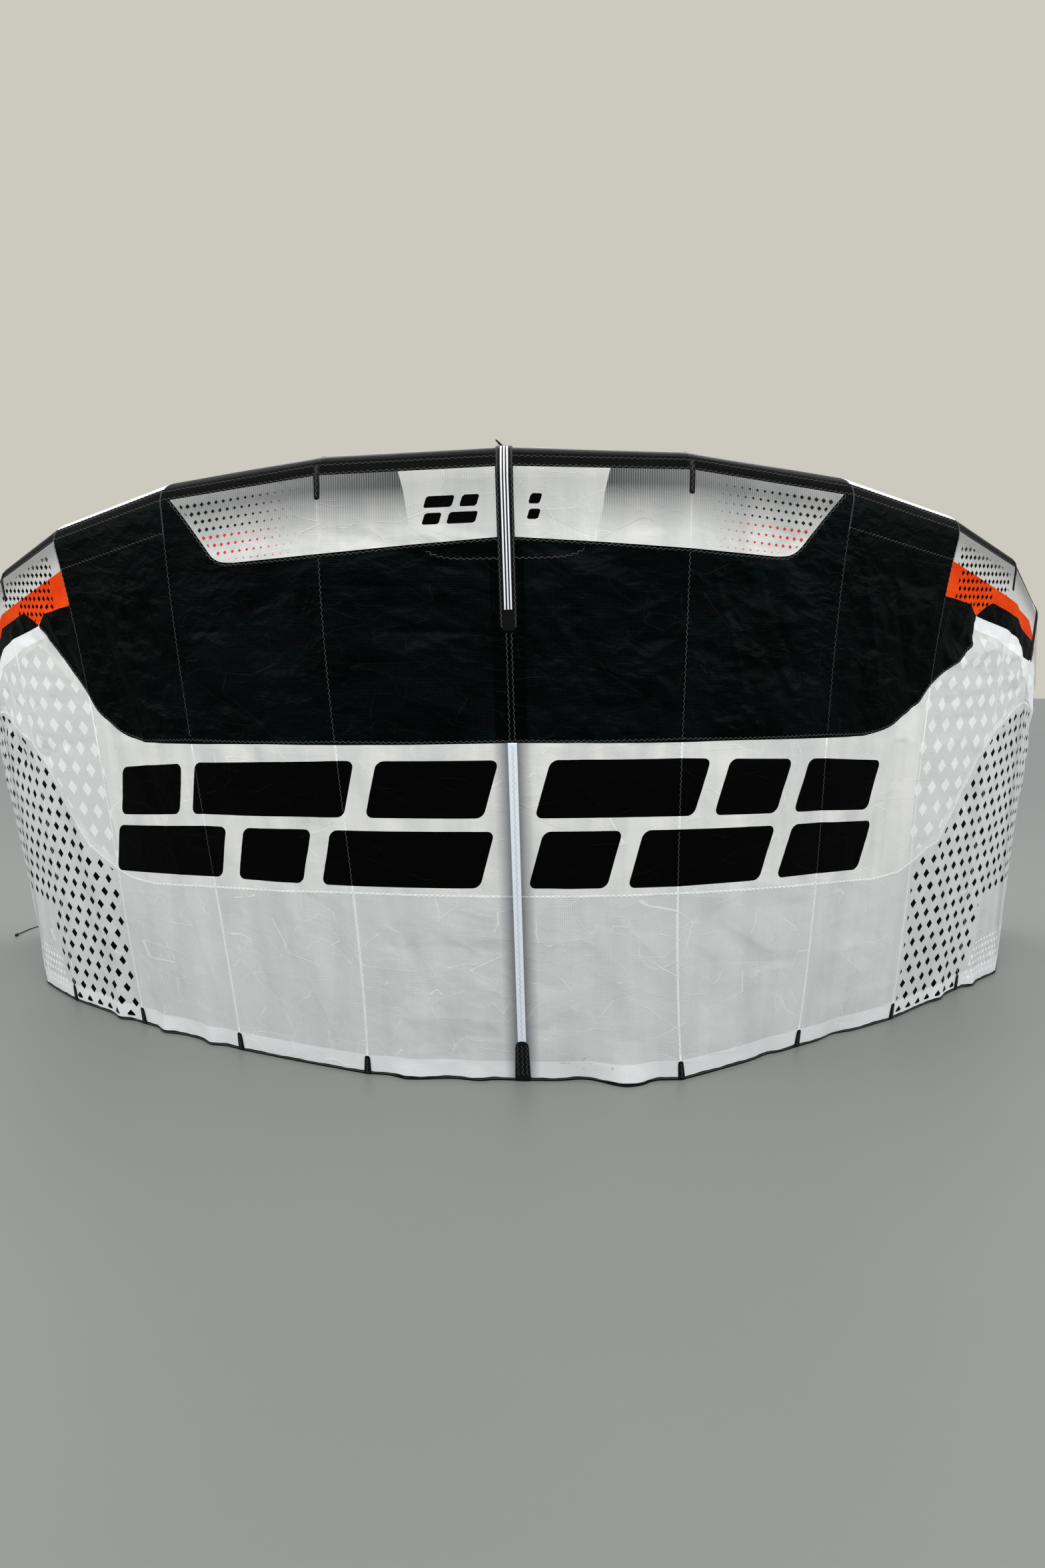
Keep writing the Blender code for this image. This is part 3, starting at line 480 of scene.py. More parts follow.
def add_piece(name, verts, faces, material, replaced=()):
    """A mesh piece that rides on the kite and stands for the CAD nodes in replaced."""
    mesh = bpy.data.meshes.new(name)
    mesh.from_pydata(np.asarray(verts).tolist(), [], [list(face) for face in faces])
    mesh.update()
    mesh.shade_smooth()
    mesh.materials.append(material)
    piece = new_object(name, mesh)
    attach(piece, BODY)
    if replaced:
        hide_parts(*replaced)
    return piece


def grid_faces(rows, columns, ring=False):
    """Faces of a grid of rows by columns points; ring also joins its last column to its first."""
    index = np.arange(rows * columns).reshape(rows, columns)
    after = np.roll(index, -1, axis=1) if ring else index[:, 1:]
    here = index if ring else index[:, :-1]
    return np.stack([here[:-1], after[:-1], after[1:], here[1:]], axis=-1).reshape(-1, 4)


def closed_tube_faces(rows, sides):
    """Faces of a tube of rows rings, with a flat face at each end."""
    count = rows * sides
    ends = [list(range(sides))[::-1], list(range(count - sides, count))]
    return grid_faces(rows, sides, ring=True).tolist() + ends


def add_place(piece, across, along, third=None):
    """Stores each vertex's flat place, and a third value on the canopy, for the shaders."""
    third = 0 * across if third is None else third
    add_attribute(piece, "place", np.column_stack([across, along, third]))


def add_attribute(piece, name, values):
    kind = "FLOAT" if np.ndim(values) == 1 else "FLOAT_VECTOR"
    layer = piece.data.attributes.new(name, kind, "POINT")
    layer.data.foreach_set("value" if kind == "FLOAT" else "vector", np.ravel(values).astype(np.float32))


def numbered(kind, ribs):
    """CAD node names of kind at these ribs, negative on the left."""
    return [f"{kind}_{'r' if rib > 0 else 'l'}{abs(rib)}" for rib in ribs]


def numbered_bays(kind, low, high):
    """CAD node names of kind in the bays between two ribs; a bay has its outer rib's number."""
    return numbered(kind, [rib if rib < 0 else rib + 1 for rib in range(low, high)])


def across_seam(count):
    """Which side of its seam each point of a zigzag lies on, 1 or -1."""
    return np.where(np.arange(count) % 2, 1.0, -1.0)


# ---------------------------------------------------------------- materials
def srgb(red, green, blue):
    """A colour as seen on a screen, 0 to 255, in the linear values that shaders use."""
    share = np.array([red, green, blue]) / 255
    linear = np.where(share <= 0.04045, share / 12.92, ((share + 0.055) / 1.055) ** 2.4)
    return (*linear.tolist(), 1.0)


def math_node(operation, swapped=False):
    """A method of Value that adds a math node; swapped puts the value itself last."""
    def method(self, *others):
        values = (*others, self) if swapped else (self, *others)
        node = self.tree.nodes.new("ShaderNodeMath")
        node.operation = operation
        for socket, value in zip(node.inputs, values):
            put(self.tree, socket, value)
        return Value(self.tree, node.outputs[0])
    return method


class Value:
    """What flows between nodes. Sums, products and comparisons of values add math nodes."""

    def __init__(self, tree, socket):
        self.tree = tree
        self.socket = socket

    __add__ = math_node("ADD")
    __radd__ = math_node("ADD", swapped=True)
    __sub__ = math_node("SUBTRACT")
    __rsub__ = math_node("SUBTRACT", swapped=True)
    __mul__ = math_node("MULTIPLY")
    __truediv__ = math_node("DIVIDE")
    __lt__ = math_node("LESS_THAN")
    __gt__ = math_node("GREATER_THAN")
    __or__ = math_node("MAXIMUM")
    __abs__ = math_node("ABSOLUTE")
    times_plus = math_node("MULTIPLY_ADD")
    smaller = math_node("MINIMUM")
    modulo = math_node("MODULO")
    power = math_node("POWER")
    floor = math_node("FLOOR")
    round = math_node("ROUND")
    fract = math_node("FRACT")
    sine = math_node("SINE")

    def ramp(self, low, high):
        """0 below low, 1 above high, straight in between."""
        node = self.tree.nodes.new("ShaderNodeMapRange")
        for name, given in (("Value", self), ("From Min", low), ("From Max", high)):
            put(self.tree, node.inputs[name], given)
        return Value(self.tree, node.outputs[0])


def put(tree, socket, value):
    """Links a value to a socket, or sets the socket to a plain value."""
    if isinstance(value, Value):
        tree.links.new(value.socket, socket)
    else:
        socket.default_value = value


class Nodes:
    """A short way to add nodes to a tree."""

    def __init__(self, tree):
        self.tree = tree

    def add(self, kind, output, settings=None, **inputs):
        node = self.tree.nodes.new(kind)
        for name, value in (settings or {}).items():
            setattr(node, name, value)
        for name, value in inputs.items():
            put(self.tree, node.inputs[name.replace("_", " ")], value)
        return Value(self.tree, node.outputs[output])

    def split(self, vector):
        node = self.tree.nodes.new("ShaderNodeSeparateXYZ")
        put(self.tree, node.inputs[0], vector)
        return tuple(Value(self.tree, output) for output in node.outputs)

    def blend(self, share, first, second, end):
        """Ends the tree with a mix of two shaders."""
        node = self.tree.nodes.new("ShaderNodeMixShader")
        for socket, value in zip(node.inputs, (share, first, second)):
            put(self.tree, socket, value)
        self.tree.links.new(node.outputs[0], self.tree.nodes[end].inputs["Surface"])


class Shader(Nodes):
    """A material in the making."""

    def __init__(self, name, roughness=0.5, specular=0.5):
        self.material = bpy.data.materials.new(name)
        self.material.use_nodes = True
        super().__init__(self.material.node_tree)
        self.surface = self.tree.nodes["Principled BSDF"]
        self.surface.inputs["Roughness"].default_value = roughness
        self.surface.inputs["Specular IOR Level"].default_value = specular

    def finish(self, colour, normal=None, roughness=None):
        """Gives the surface what was worked out, and returns the material."""
        for name, value in (("Base Color", colour), ("Normal", normal), ("Roughness", roughness)):
            if value is not None:
                put(self.tree, self.surface.inputs[name], value)
        return self.material

    def attribute(self, name, output="Fac"):
        return self.add("ShaderNodeAttribute", output, {"attribute_name": name})

    def place(self):
        """The flat place stored on the mesh, whole and as its three numbers."""
        place = self.attribute("place", "Vector")
        return place, *self.split(place)

    def mix(self, share, first, second):
        node = self.tree.nodes.new("ShaderNodeMix")
        node.data_type = "RGBA"
        for name, value in (("Factor_Float", share), ("A_Color", first), ("B_Color", second)):
            put(self.tree, next(x for x in node.inputs if x.identifier == name), value)
        return Value(self.tree, next(x for x in node.outputs if x.identifier == "Result_Color"))

    def inside(self, name, margin=0.0):
        return self.attribute(name) > margin

    def noise(self, vector, scale, detail=3.0):
        return self.add("ShaderNodeTexNoise", "Fac", Vector=vector, Scale=scale, Detail=detail)

    def join(self, x, y, z=0.0):
        return self.add("ShaderNodeCombineXYZ", 0, X=x, Y=y, Z=z)

    def diamonds(self, u, h, pitch, radius):
        """Small diamonds in staggered rows; radius is in pitches along the span."""
        row = h / pitch.up
        along = row.floor().modulo(2.0).times_plus(0.5, u / pitch.along)
        x = along.fract() - 0.5
        y = (row.fract() - 0.5) * (pitch.up / pitch.along)
        return abs(x) + abs(y) < radius

    def bump(self, height, distance, strength=1.0, below=None):
        inputs = {"Strength": strength, "Distance": distance, "Height": height}
        if below is not None:
            inputs["Normal"] = below
        return self.add("ShaderNodeBump", 0, **inputs)


WHITE_CELL = srgb(198, 201, 201)
WHITE_THREAD = srgb(222, 223, 222)
TOP_CELL = srgb(220, 220, 217)
TOP_THREAD = srgb(234, 234, 231)
WHITE_STREAK = srgb(184, 187, 188)
WHITE_CREASE = srgb(248, 248, 246)
WHITE_TAPE = srgb(246, 248, 250)
STAIN = srgb(176, 176, 172)
GREY_GROUND = srgb(209, 210, 209)
PALE_MOTIF = srgb(233, 234, 234)
BLACK_CELL = srgb(1, 2, 2)
# threads of the black cloth, painted lighter by light that comes through it from behind
BLACK_THREAD_BACKLIT = srgb(8, 17, 17)
BLACK_OUTBOARD = srgb(4, 5, 5)
BLACK_CREASE = srgb(26, 29, 28)
BLACK_TAPE = srgb(0, 1, 1)
BLACK_PRINT = srgb(4, 4, 5)
TUBE_SHADE = srgb(76, 78, 80)
STRUT_SHADE = srgb(112, 116, 122)
ORANGE = srgb(236, 64, 13)
ORANGE_WORN = srgb(246, 86, 26)
RED_DOT = srgb(214, 66, 54)
GREY_DOT = srgb(30, 32, 34)
GREY_HIGH_DOT = srgb(90, 91, 94)

SHARE_THROUGH = 0.30        # light that white cloth lets through
LAYER = 0.0006              # bump of a sewn edge
RIPSTOP_SHARE = 0.25        # width of a reinforcing thread, in spacings
WEAVE_SHARE = 0.3           # the same for the tubes' and the band's cloth
RIB_TAPE = 0.0034           # half the width of the tape on a rib, and of that on the lower seam
SEAM_TAPE = 0.0033
CREASE_WIDTH = 0.0013
UPPER_CHORD = 1.8           # turns chord places into heights for the small dots' rows
ROWS_BELOW_GREY = 67        # rows of small dots up to where they turn from red to grey
STRIPE_PITCH = 0.0082       # the white stripes along the centre patch
STRIPE_WIDTH = 0.0042
STRIPE_FOOT = 0.062         # where they start and end along it
STRIPE_TOP = 0.540

# Fields of small diamonds: their spacing along the span and up the chord.
Pitch = namedtuple("Pitch", "along up")
STARS = Pitch(0.082, 0.070)
DOTS = Pitch(0.062, 0.048)
RISE_DOTS = Pitch(0.027, 0.025)
PATCH_DOTS = Pitch(0.028, 0.026)
UPPER_DOTS = Pitch(0.0235, 0.0255)


def thread_lines(across, spacing, share):
    """Straight threads at each whole spacing."""
    return (across / spacing).fract() < share


def near(value, centre, close, away):
    """1 within close of the centre, 0 further than away from it."""
    return 1.0 - abs(value - centre).ramp(close, away)


def span_ramp(side_u, s0, s1):
    return side_u.ramp(span_place(s0), span_place(s1))


def between(side_u, s0, s1):
    return (side_u > span_place(s0)) * (side_u < span_place(s1))


def canopy_material():
    """Ripstop cloth in all its cuts and prints, from the distances stored on the canopy."""
    g = Shader("canopy_cloth", roughness=0.44, specular=0.020)
    place, u, h, v = g.place()
    side_u = abs(u)
    across, upright = (thread_lines(line, RIPSTOP, RIPSTOP_SHARE) for line in (h, u))
    thread = across | upright
    milky = g.noise(place, 5.0).ramp(0.38, 0.62)
    grid = thread * milky.times_plus(-0.7, 1.0)
    creases = crease_lines(g, 0, 0.55) | crease_lines(g, 1, 0.74) * 0.8
    white = white_colour(g, u, h, grid, milky, creases)
    dark, bars, upper = (g.inside(name) for name in ("black", "bars", "upper"))
    rib_tape = g.attribute("rib") < RIB_TAPE
    seam_tape = abs(g.attribute("seam")) < SEAM_TAPE
    hem = h < TE_BAND

    stars = g.diamonds(side_u, h, STARS, 0.31)
    colour = g.mix(g.inside("discs"), white, g.mix(stars, GREY_GROUND, PALE_MOTIF))
    dot_size = span_ramp(side_u, OUTER_STRUT_RIB, TIP_RIB).times_plus(-0.20, 0.27)
    dots = g.inside("dots") * g.diamonds(side_u, h, DOTS, dot_size)
    rise = g.inside("rise") * g.diamonds(side_u, h, RISE_DOTS, 0.30)
    tape = rib_tape | seam_tape | rise | hem * across.times_plus(0.12, 0.42) | g.inside("bright") * 0.75
    colour = g.mix(tape, colour, WHITE_TAPE)
    stain = near(u, 0.20, 0.05, 0.17) * near(h, 0.055, 0.010, 0.035)
    colour = g.mix(g.noise(place, 60.0, 4.0).ramp(0.62, 0.70) * stain, colour, STAIN)
    colour = g.mix(strut_shade(side_u, v), colour, STRUT_SHADE)
    colour = g.mix(bars, g.mix(dots, colour, BLACK_PRINT), BLACK_PRINT)

    colour = g.mix(upper, colour, upper_colour(g, side_u, v, upright, white))
    colour = g.mix(upper * bars, colour, BLACK_PRINT)
    colour = g.mix(g.inside("patch"), colour, patch_colour(g, side_u, h, v, upright))
    small_dots = patch_dots(g, side_u, h, v) * between(side_u, 3.14, 3.66)
    orange = g.mix(g.noise(place, 14.0).ramp(0.3, 0.8), ORANGE, ORANGE_WORN)
    colour = g.mix(g.inside("orange"), colour, g.mix(small_dots, orange, BLACK_PRINT))
    colour = g.mix(dark, colour, black_colour(g, side_u, grid, creases, rib_tape))

    roughness = 0.42 + g.noise(place, 9.0) * 0.10 - (bars * 0.24 | dark * 0.08)
    normal = crumpled(g, place, dark, creases)
    layers = g.attribute("black").ramp(-0.001, 0.001) + (rib_tape | seam_tape | hem)
    normal = g.bump(layers, LAYER, 0.8, normal)
    normal = g.bump(thread, 0.00025, 0.6, normal)
    through = g.add("ShaderNodeBsdfTranslucent", 0, Color=colour, Normal=normal)
    clear = 1.0 - (dark | bars | dots | tape * 0.5)
    g.blend(clear * SHARE_THROUGH, Value(g.tree, g.surface.outputs[0]), through, "Material Output")
    return g.finish(colour, normal, roughness)


def white_colour(g, u, h, grid, milky, creases):
    """Plain white cloth: thinner below the lower seam, streaked, clouded and creased."""
    below = g.mix(grid, WHITE_CELL, WHITE_THREAD)
    colour = g.mix(g.attribute("seam") > 0.0, below, g.mix(grid, TOP_CELL, TOP_THREAD))
    streaks = g.noise(g.join(u * 11.0, h * 1.6), 1.0)
    colour = g.mix(streaks.ramp(0.35, 0.65) * 0.55, colour, WHITE_STREAK)
    colour = g.mix(milky * 0.25, colour, TOP_THREAD)
    return g.mix(creases * 0.60, colour, WHITE_CREASE)


def black_colour(g, side_u, grid, creases, rib_tape):
    """Black cloth: its reinforcing threads show with painted light that comes through the cloth from
    behind, but not far out, and not on the centre strip, where the strut's painted shade hides them.
    """
    # painted shade of the centre strut: within 0.045 m of the centre no light from behind shows the threads
    threads_lit_from_behind = g.mix(grid * (side_u > 0.045), BLACK_CELL, BLACK_THREAD_BACKLIT)
    colour = g.mix(span_ramp(side_u, 2.0, 2.6) * 0.75, threads_lit_from_behind, BLACK_OUTBOARD)
    colour = g.mix(creases * 0.35, colour, BLACK_CREASE)
    return g.mix(rib_tape * 0.8, colour, BLACK_TAPE)


def crumpled(g, place, dark, creases):
    """Normals of the fine crumples, which are stronger in the black cloth."""
    loose = dark.times_plus(0.75, 0.25)
    uneven = loose * g.noise(place, 3.5, 2.0).ramp(0.20, 0.70)
    normal = g.bump(facets(g, 2).times_plus(0.4, facets(g, 1)) * uneven, 0.0045)
    normal = g.bump(g.noise(place, 30.0) * loose, 0.004, 0.50, normal)
    return g.bump(creases, 0.0012, 0.8, normal)


def facets(g, number):
    """Fine flat-sided crumples, as wide as a net's facets."""
    settings = {"feature": "F1", "distance": "MANHATTAN", "voronoi_dimensions": "2D"}
    net = g.attribute(f"net{number}", "Vector")
    return g.add("ShaderNodeTexVoronoi", "Distance", settings, Vector=net, Scale=1.0)


def crease_lines(g, number, fewer):
    """Thin lines along some of the folds of a net, along which the cloth is coloured lighter."""
    p, q, _ = g.split(g.attribute(f"net{number}", "Vector"))
    width = CREASE_WIDTH / NETS[number].cell
    x, y, i, j = p.fract(), q.fract(), p.floor(), q.floor()
    folds = (
        (x.smaller(1.0 - x), p.round(), j),
        (y.smaller(1.0 - y), i, q.round()),
        (abs(x + y - 1.0), i, j),
    )
    lines = []
    for kind, (aside, a, b) in enumerate(folds):
        chance = g.add("ShaderNodeTexWhiteNoise", "Value", Vector=g.join(a, b, kind + 0.5))
        lines.append(chance.ramp(fewer, 1.0) * (1.0 - aside.ramp(0.4 * width, 1.6 * width)))
    return lines[0] | lines[1] | lines[2]


def strut_shade(side_u, v):
    """The strut behind the white cloth darkens it on both sides of its tape."""
    return (1.0 - side_u.ramp(0.013, 0.056)) * (v < 0.585) * 0.85


def upper_colour(g, side_u, v, upright, white):
    """The white panel under the leading edge, shaded where the dark tube is close behind it."""
    shade = v.ramp(0.915, 0.992).power(1.3) * g.inside("centre").times_plus(-0.86, 1.0)
    shade = shade * span_ramp(side_u, 0.56, 1.9).times_plus(-0.45, 1.0)
    colour = g.mix(shade * upright.times_plus(-0.30, 1.0), white, TUBE_SHADE)
    inner = span_place(1.12)
    radius = span_ramp(side_u, 1.12, 1.92).times_plus(0.28, 0.10)
    dots = g.diamonds(side_u, v * UPPER_CHORD, UPPER_DOTS, radius)
    dots = dots * g.inside("upper", 0.010) * (v < 1.008)
    dot_colour = g.mix(v > ROWS_BELOW_GREY * UPPER_DOTS.up / UPPER_CHORD, RED_DOT, GREY_DOT)
    return g.mix(dots * side_u.ramp(inner - 0.04, inner + 0.12), colour, dot_colour)


def patch_dots(g, side_u, h, v):
    return g.diamonds(side_u, h, PATCH_DOTS, 0.35) * (v > 0.886)


def patch_colour(g, side_u, h, v, upright):
    """The white dotted panel at each tip end of the leading edge."""
    dots = patch_dots(g, side_u, h, v) * (v < 0.999) * between(side_u, 3.08, 3.92)
    # painted shade where the dark tube lies close behind the cloth, less over the upright threads
    colour = g.mix(v.ramp(0.965, 1.005) * upright.times_plus(-0.3, 0.6), TOP_CELL, TUBE_SHADE)
    return g.mix(dots, colour, g.mix(v.ramp(0.985, 0.999), BLACK_PRINT, GREY_HIGH_DOT))


def plain_weave(g, place, across, along, spacing, scale):
    """Both threads of a plain weave, and how light the cloth is at each place."""
    thread = thread_lines(across, spacing, WEAVE_SHARE) | thread_lines(along, spacing, WEAVE_SHARE)
    return thread, thread.times_plus(0.35, g.noise(place, scale, 4.0) * 0.6)


def band_material():
    """The black doubled cloth along the leading edge, which is sewn round the tube."""
    g = Shader("leading_edge_band", roughness=0.42, specular=0.018)
    place, u, h, _ = g.place()
    thread, tone = plain_weave(g, place, h, u, BAND_WEAVE, 12.0)
    seam = g.attribute("rib") < 0.003
    colour = g.mix(seam, g.mix(tone, srgb(2, 2, 2), srgb(13, 14, 13)), srgb(1, 1, 1))
    normal = g.bump(g.noise(g.join(u * 40.0, h * 12.0), 1.0, 2.0), 0.003, 0.5)
    normal = g.bump(1.0 - seam, LAYER, 0.8, normal)
    return g.finish(colour, g.bump(thread, 0.0002, 0.5, normal))


def tube_material(name, colour, lighter, roughness, specular=0.09):
    """Tight woven polyester of the inflated tubes, from (round, along) in metres."""
    g = Shader(name, roughness=roughness, specular=specular)
    place, across, along, _ = g.place()
    thread, tone = plain_weave(g, place, across, along, BAND_WEAVE, 9.0)
    soft = g.bump(g.noise(place, 26.0), 0.0030, 0.30)
    return g.finish(g.mix(tone, colour, lighter), g.bump(thread, 0.0003, 0.4, soft))


def woven_material(name, colour, lighter, pitch, roughness=0.6, bump=0.0004, specular=0.30):
    """Plain woven tape or webbing, from the piece's own (across, along) in metres."""
    g = Shader(name, roughness=roughness, specular=specular)
    place, across, along, _ = g.place()
    wave_u, wave_h = ((line * (2 * math.pi / pitch)).sine() for line in (across, along))
    weave = (wave_u * wave_h).times_plus(0.5, 0.5)
    tone = weave.times_plus(0.5, g.noise(place, 30.0) * 0.5)
    return g.finish(g.mix(tone, colour, lighter), g.bump(weave, bump, 0.7))


def patch_material():
    """Black strip with three white stripes, from the strip's own (across, along) in metres."""
    g = Shader("strut_patch_cloth", roughness=0.5, specular=0.08)
    place, across, along, _ = g.place()
    stripe = across * (1.0 / STRIPE_PITCH)
    stripe = abs(stripe - stripe.round()) < STRIPE_WIDTH / STRIPE_PITCH / 2
    stripe = stripe * (abs(across) < 1.5 * STRIPE_PITCH) * (along > STRIPE_FOOT) * (along < STRIPE_TOP)
    uneven = g.noise(place, 60.0)
    black = g.mix(uneven, srgb(4, 4, 4), srgb(14, 14, 15))
    return g.finish(g.mix(stripe, black, srgb(226, 228, 232)), g.bump(uneven, 0.0006, 0.5))


def cloudy_material(name, roughness, specular, scale, detail, colour, other):
    """Two tones in soft clouds, from the place in the piece."""
    g = Shader(name, roughness=roughness, specular=specular)
    clouds = g.noise(g.add("ShaderNodeTexCoord", "Object"), scale, detail)
    return g.finish(g.mix(clouds, colour, other))


def thread_material(name, colour):
    darker = tuple(0.7 * x for x in colour[:3]) + (1.0,)
    return cloudy_material(name, 0.55, 0.4, 180.0, 2.0, darker, colour)


# ---------------------------------------------------------------- camera, lights and floor
CAMERA_PLACE = (-0.002, -3.636, 1.45)
CAMERA_PITCH = math.radians(90 - 8.55)
CAMERA_LENS = 29.13
CAMERA_SENSOR = 36.0


def make_camera():
    data = bpy.data.cameras.new("camera")
    data.lens = CAMERA_LENS
    data.sensor_width = CAMERA_SENSOR
    camera = new_object("camera", data)
    camera.location = CAMERA_PLACE
    camera.rotation_euler = (CAMERA_PITCH, 0.0, 0.0)
    bpy.context.scene.camera = camera


# Large soft lights: where each hangs, the place it faces, and its size and power.
Softbox = namedtuple("Softbox", "name place aim width length watts")
SOFTBOXES = [
    Softbox("ceiling_front", (0.0, -1.9, 3.6), (0.0, 0.3, 0.8), 4.4, 1.3, 75.0),
    Softbox("side_left", (-4.4, -0.8, 2.7), (-1.4, 0.8, 0.9), 2.2, 1.6, 50.0),
    Softbox("side_right", (4.4, -0.8, 2.7), (1.4, 0.8, 0.9), 2.2, 1.6, 50.0),
    Softbox("ceiling_back", (0.0, 3.4, 3.4), (0.0, 0.9, 0.4), 3.4, 1.6, 70.0),
]
HORIZON_HEIGHT = -0.1       # where the room's light begins to grow, as a direction's height
HORIZON_LIGHT = 0.40        # light from level with the eye, and from straight above
ZENITH_LIGHT = 1.90
ROOM_COLOUR = srgb(236, 237, 237)
BACKDROP = srgb(204, 201, 190)
FLOOR_REACH = 14.0


def make_softbox(box):
    data = bpy.data.lights.new(box.name, "AREA")
    data.shape = "RECTANGLE"
    data.size, data.size_y, data.energy = box.width, box.length, box.watts
    light = new_object(box.name, data)
    light.location = box.place
    light.rotation_euler = (Vector(box.aim) - Vector(box.place)).to_track_quat("-Z", "Y").to_euler()


def make_room():
    """Light from all round, brighter from above, behind a plain backdrop."""
    world = bpy.data.worlds.new("studio")
    world.use_nodes = True
    g = Nodes(world.node_tree)
    _, _, height = g.split(g.add("ShaderNodeTexCoord", "Generated"))
    light = g.add("ShaderNodeMapRange", 0, {"interpolation_type": "SMOOTHSTEP"}, Value=height,
                  From_Min=HORIZON_HEIGHT, To_Min=HORIZON_LIGHT, To_Max=ZENITH_LIGHT)
    room = g.tree.nodes["Background"]
    put(g.tree, room.inputs["Color"], ROOM_COLOUR)
    put(g.tree, room.inputs["Strength"], light)
    backdrop = g.add("ShaderNodeBackground", 0, Color=BACKDROP)
    seen = g.add("ShaderNodeLightPath", "Is Camera Ray")
    g.blend(seen, Value(g.tree, room.outputs[0]), backdrop, "World Output")
    bpy.context.scene.world = world


def make_floor():
    far = FLOOR_REACH
    mesh = bpy.data.meshes.new("floor")
    corners = [(-far, -far, 0), (far, -far, 0), (far, far, 0), (-far, far, 0)]
    mesh.from_pydata(corners, [], [(0, 1, 2, 3)])
    paint = cloudy_material("floor_paint", 0.42, 0.3, 0.6, 4.0, srgb(111, 114, 111), srgb(117, 120, 117))
    mesh.materials.append(paint)
    new_object("floor", mesh)


bpy.context.scene.view_settings.view_transform = "Standard"
make_camera()
for softbox in SOFTBOXES:
    make_softbox(softbox)
make_room()
make_floor()

# ---------------------------------------------------------------- pigtail line at the left tip
PIGTAIL_ROUTE = [
    (-1.947, 1.828), (-1.985, 1.862), (-2.045, 1.858), (-2.100, 1.822),
    (-2.140, 1.765), (-2.158, 1.700), (-2.164, 1.645),
]
PIGTAIL_RADIUS = 0.00225
PIGTAIL_LEAD = 0.022        # how far it runs on straight from the binding
BINDING_MIDDLE = 0.00165    # outward from the cloth's corner
BINDING_GAP = 0.0003
OFF_FLOOR = 0.0002
KNOT_RADIUS = 0.0058
KNOT_SPACING = 0.0105
KNOT_STRAND = 0.0018
KNOT_REACH = 0.0036
KNOT_TURNS = 3
KNOT_POINTS = 54
LINE_SIDES = 8


def pigtail_points():
    """The line's own points, from the binding's end to where its knot begins."""
    rest = PIGTAIL_RADIUS + OFF_FLOOR
    corner, ahead = surface([-TIP_RIB, -TIP_RIB + 0.02], 0.0, off=0.0)
    along = unit((ahead - corner) * (1, 1, 0))
    out = np.array([along[1], -along[0], 0.0])
    away = -along
    start = corner + out * BINDING_MIDDLE + away * BINDING_GAP
    start[2] = BINDING_HEIGHT / 2
    route = [start, start + away * PIGTAIL_LEAD]
    route += [np.array([x, y, rest]) for x, y in PIGTAIL_ROUTE]
    route[1][2] -= PIGTAIL_RADIUS / 2
    route[-1][2] = KNOT_RADIUS + OFF_FLOOR
    line = smooth(route, per_span=4)
    line[:, 2] = np.maximum(line[:, 2], rest)
    return line


def make_pigtail(line, material):
    curve = bpy.data.curves.new("pigtail", "CURVE")
    curve.dimensions = "3D"
    curve.bevel_depth = PIGTAIL_RADIUS
    curve.bevel_resolution = 4
    curve.use_fill_caps = True
    spline = curve.splines.new("POLY")
    spline.points.add(len(line) - 1)
    for point, place in zip(spline.points, line):
        point.co = (*place, 1.0)
    spline.use_smooth = True
    curve.materials.append(material)
    piece = new_object("pigtail", curve)
    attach(piece, BODY)
    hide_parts("pigtail_line")
    return piece


def make_knot(line, material):
    """Two stopper knots, each a strand wound round the line, and the line's end through them."""
    along = unit((line[-1] - line[-2]) * (1, 1, 0))
    side = np.cross((0, 0, 1), along)
    turn = np.linspace(0, 2 * math.pi * KNOT_TURNS, KNOT_POINTS)
    from_end = turn / (2 * KNOT_TURNS)
    radius = (KNOT_RADIUS - KNOT_STRAND) * (0.86 + 0.14 * np.sin(from_end + 0.3))
    verts, faces = [], []
    for spacings in (0.5, 1.5):
        centre = line[-1] + along * (KNOT_SPACING * spacings)
        path = centre + column(KNOT_REACH * np.cos(from_end)) * along
        path = path + column(radius * np.cos(turn)) * side
        path[:, 2] += radius * np.sin(turn)
        verts, faces = add_line(verts, faces, path, KNOT_STRAND)
    tail = line[-1] + column(np.linspace(-0.002, 2 * KNOT_SPACING, 8)) * along
    verts, faces = add_line(verts, faces, tail, PIGTAIL_RADIUS)
    return add_piece("knot", verts, faces, material, ["pigtail_knot"])


def add_line(verts, faces, path, radius):
    """Adds a round line along path to lists of vertices and faces."""
    ahead = unit(np.gradient(path, axis=0))
    across = unit(np.cross(ahead, (0.03, 0.02, 1.0)))
    up = np.cross(across, ahead)
    turn = 2 * math.pi * np.arange(LINE_SIDES) / LINE_SIDES
    round_it = column(np.cos(turn)) * across[:, None] + column(np.sin(turn)) * up[:, None]
    ring = path[:, None] + radius * round_it
    base = len(verts)
    faces = [*faces, *(grid_faces(len(path), LINE_SIDES, ring=True) + base).tolist()]
    return [*verts, *ring.reshape(-1, 3).tolist()], faces


LINE_MATERIAL = woven_material("line_cover", srgb(22, 22, 24), srgb(52, 52, 56), 0.0016, bump=0.0003)
pigtail_line = pigtail_points()
pigtail = make_pigtail(pigtail_line, LINE_MATERIAL)
knot = make_knot(pigtail_line, LINE_MATERIAL)


# ---------------------------------------------------------------- canopy
LAP_ROWS = 10
CANOPY_FOOT = 0.004         # the cloth's lower edge, inside its binding

CanopyPart = namedtuple("CanopyPart", "name low high cell")    # its end ribs, and its mesh's spacing
CANOPY_PARTS = [
    CanopyPart("canopy_left", -TIP_RIB, -2, 0.0073),
    CanopyPart("canopy_middle", -2, 2, 0.0066),
    CanopyPart("canopy_right", 2, TIP_RIB, 0.0073),
]


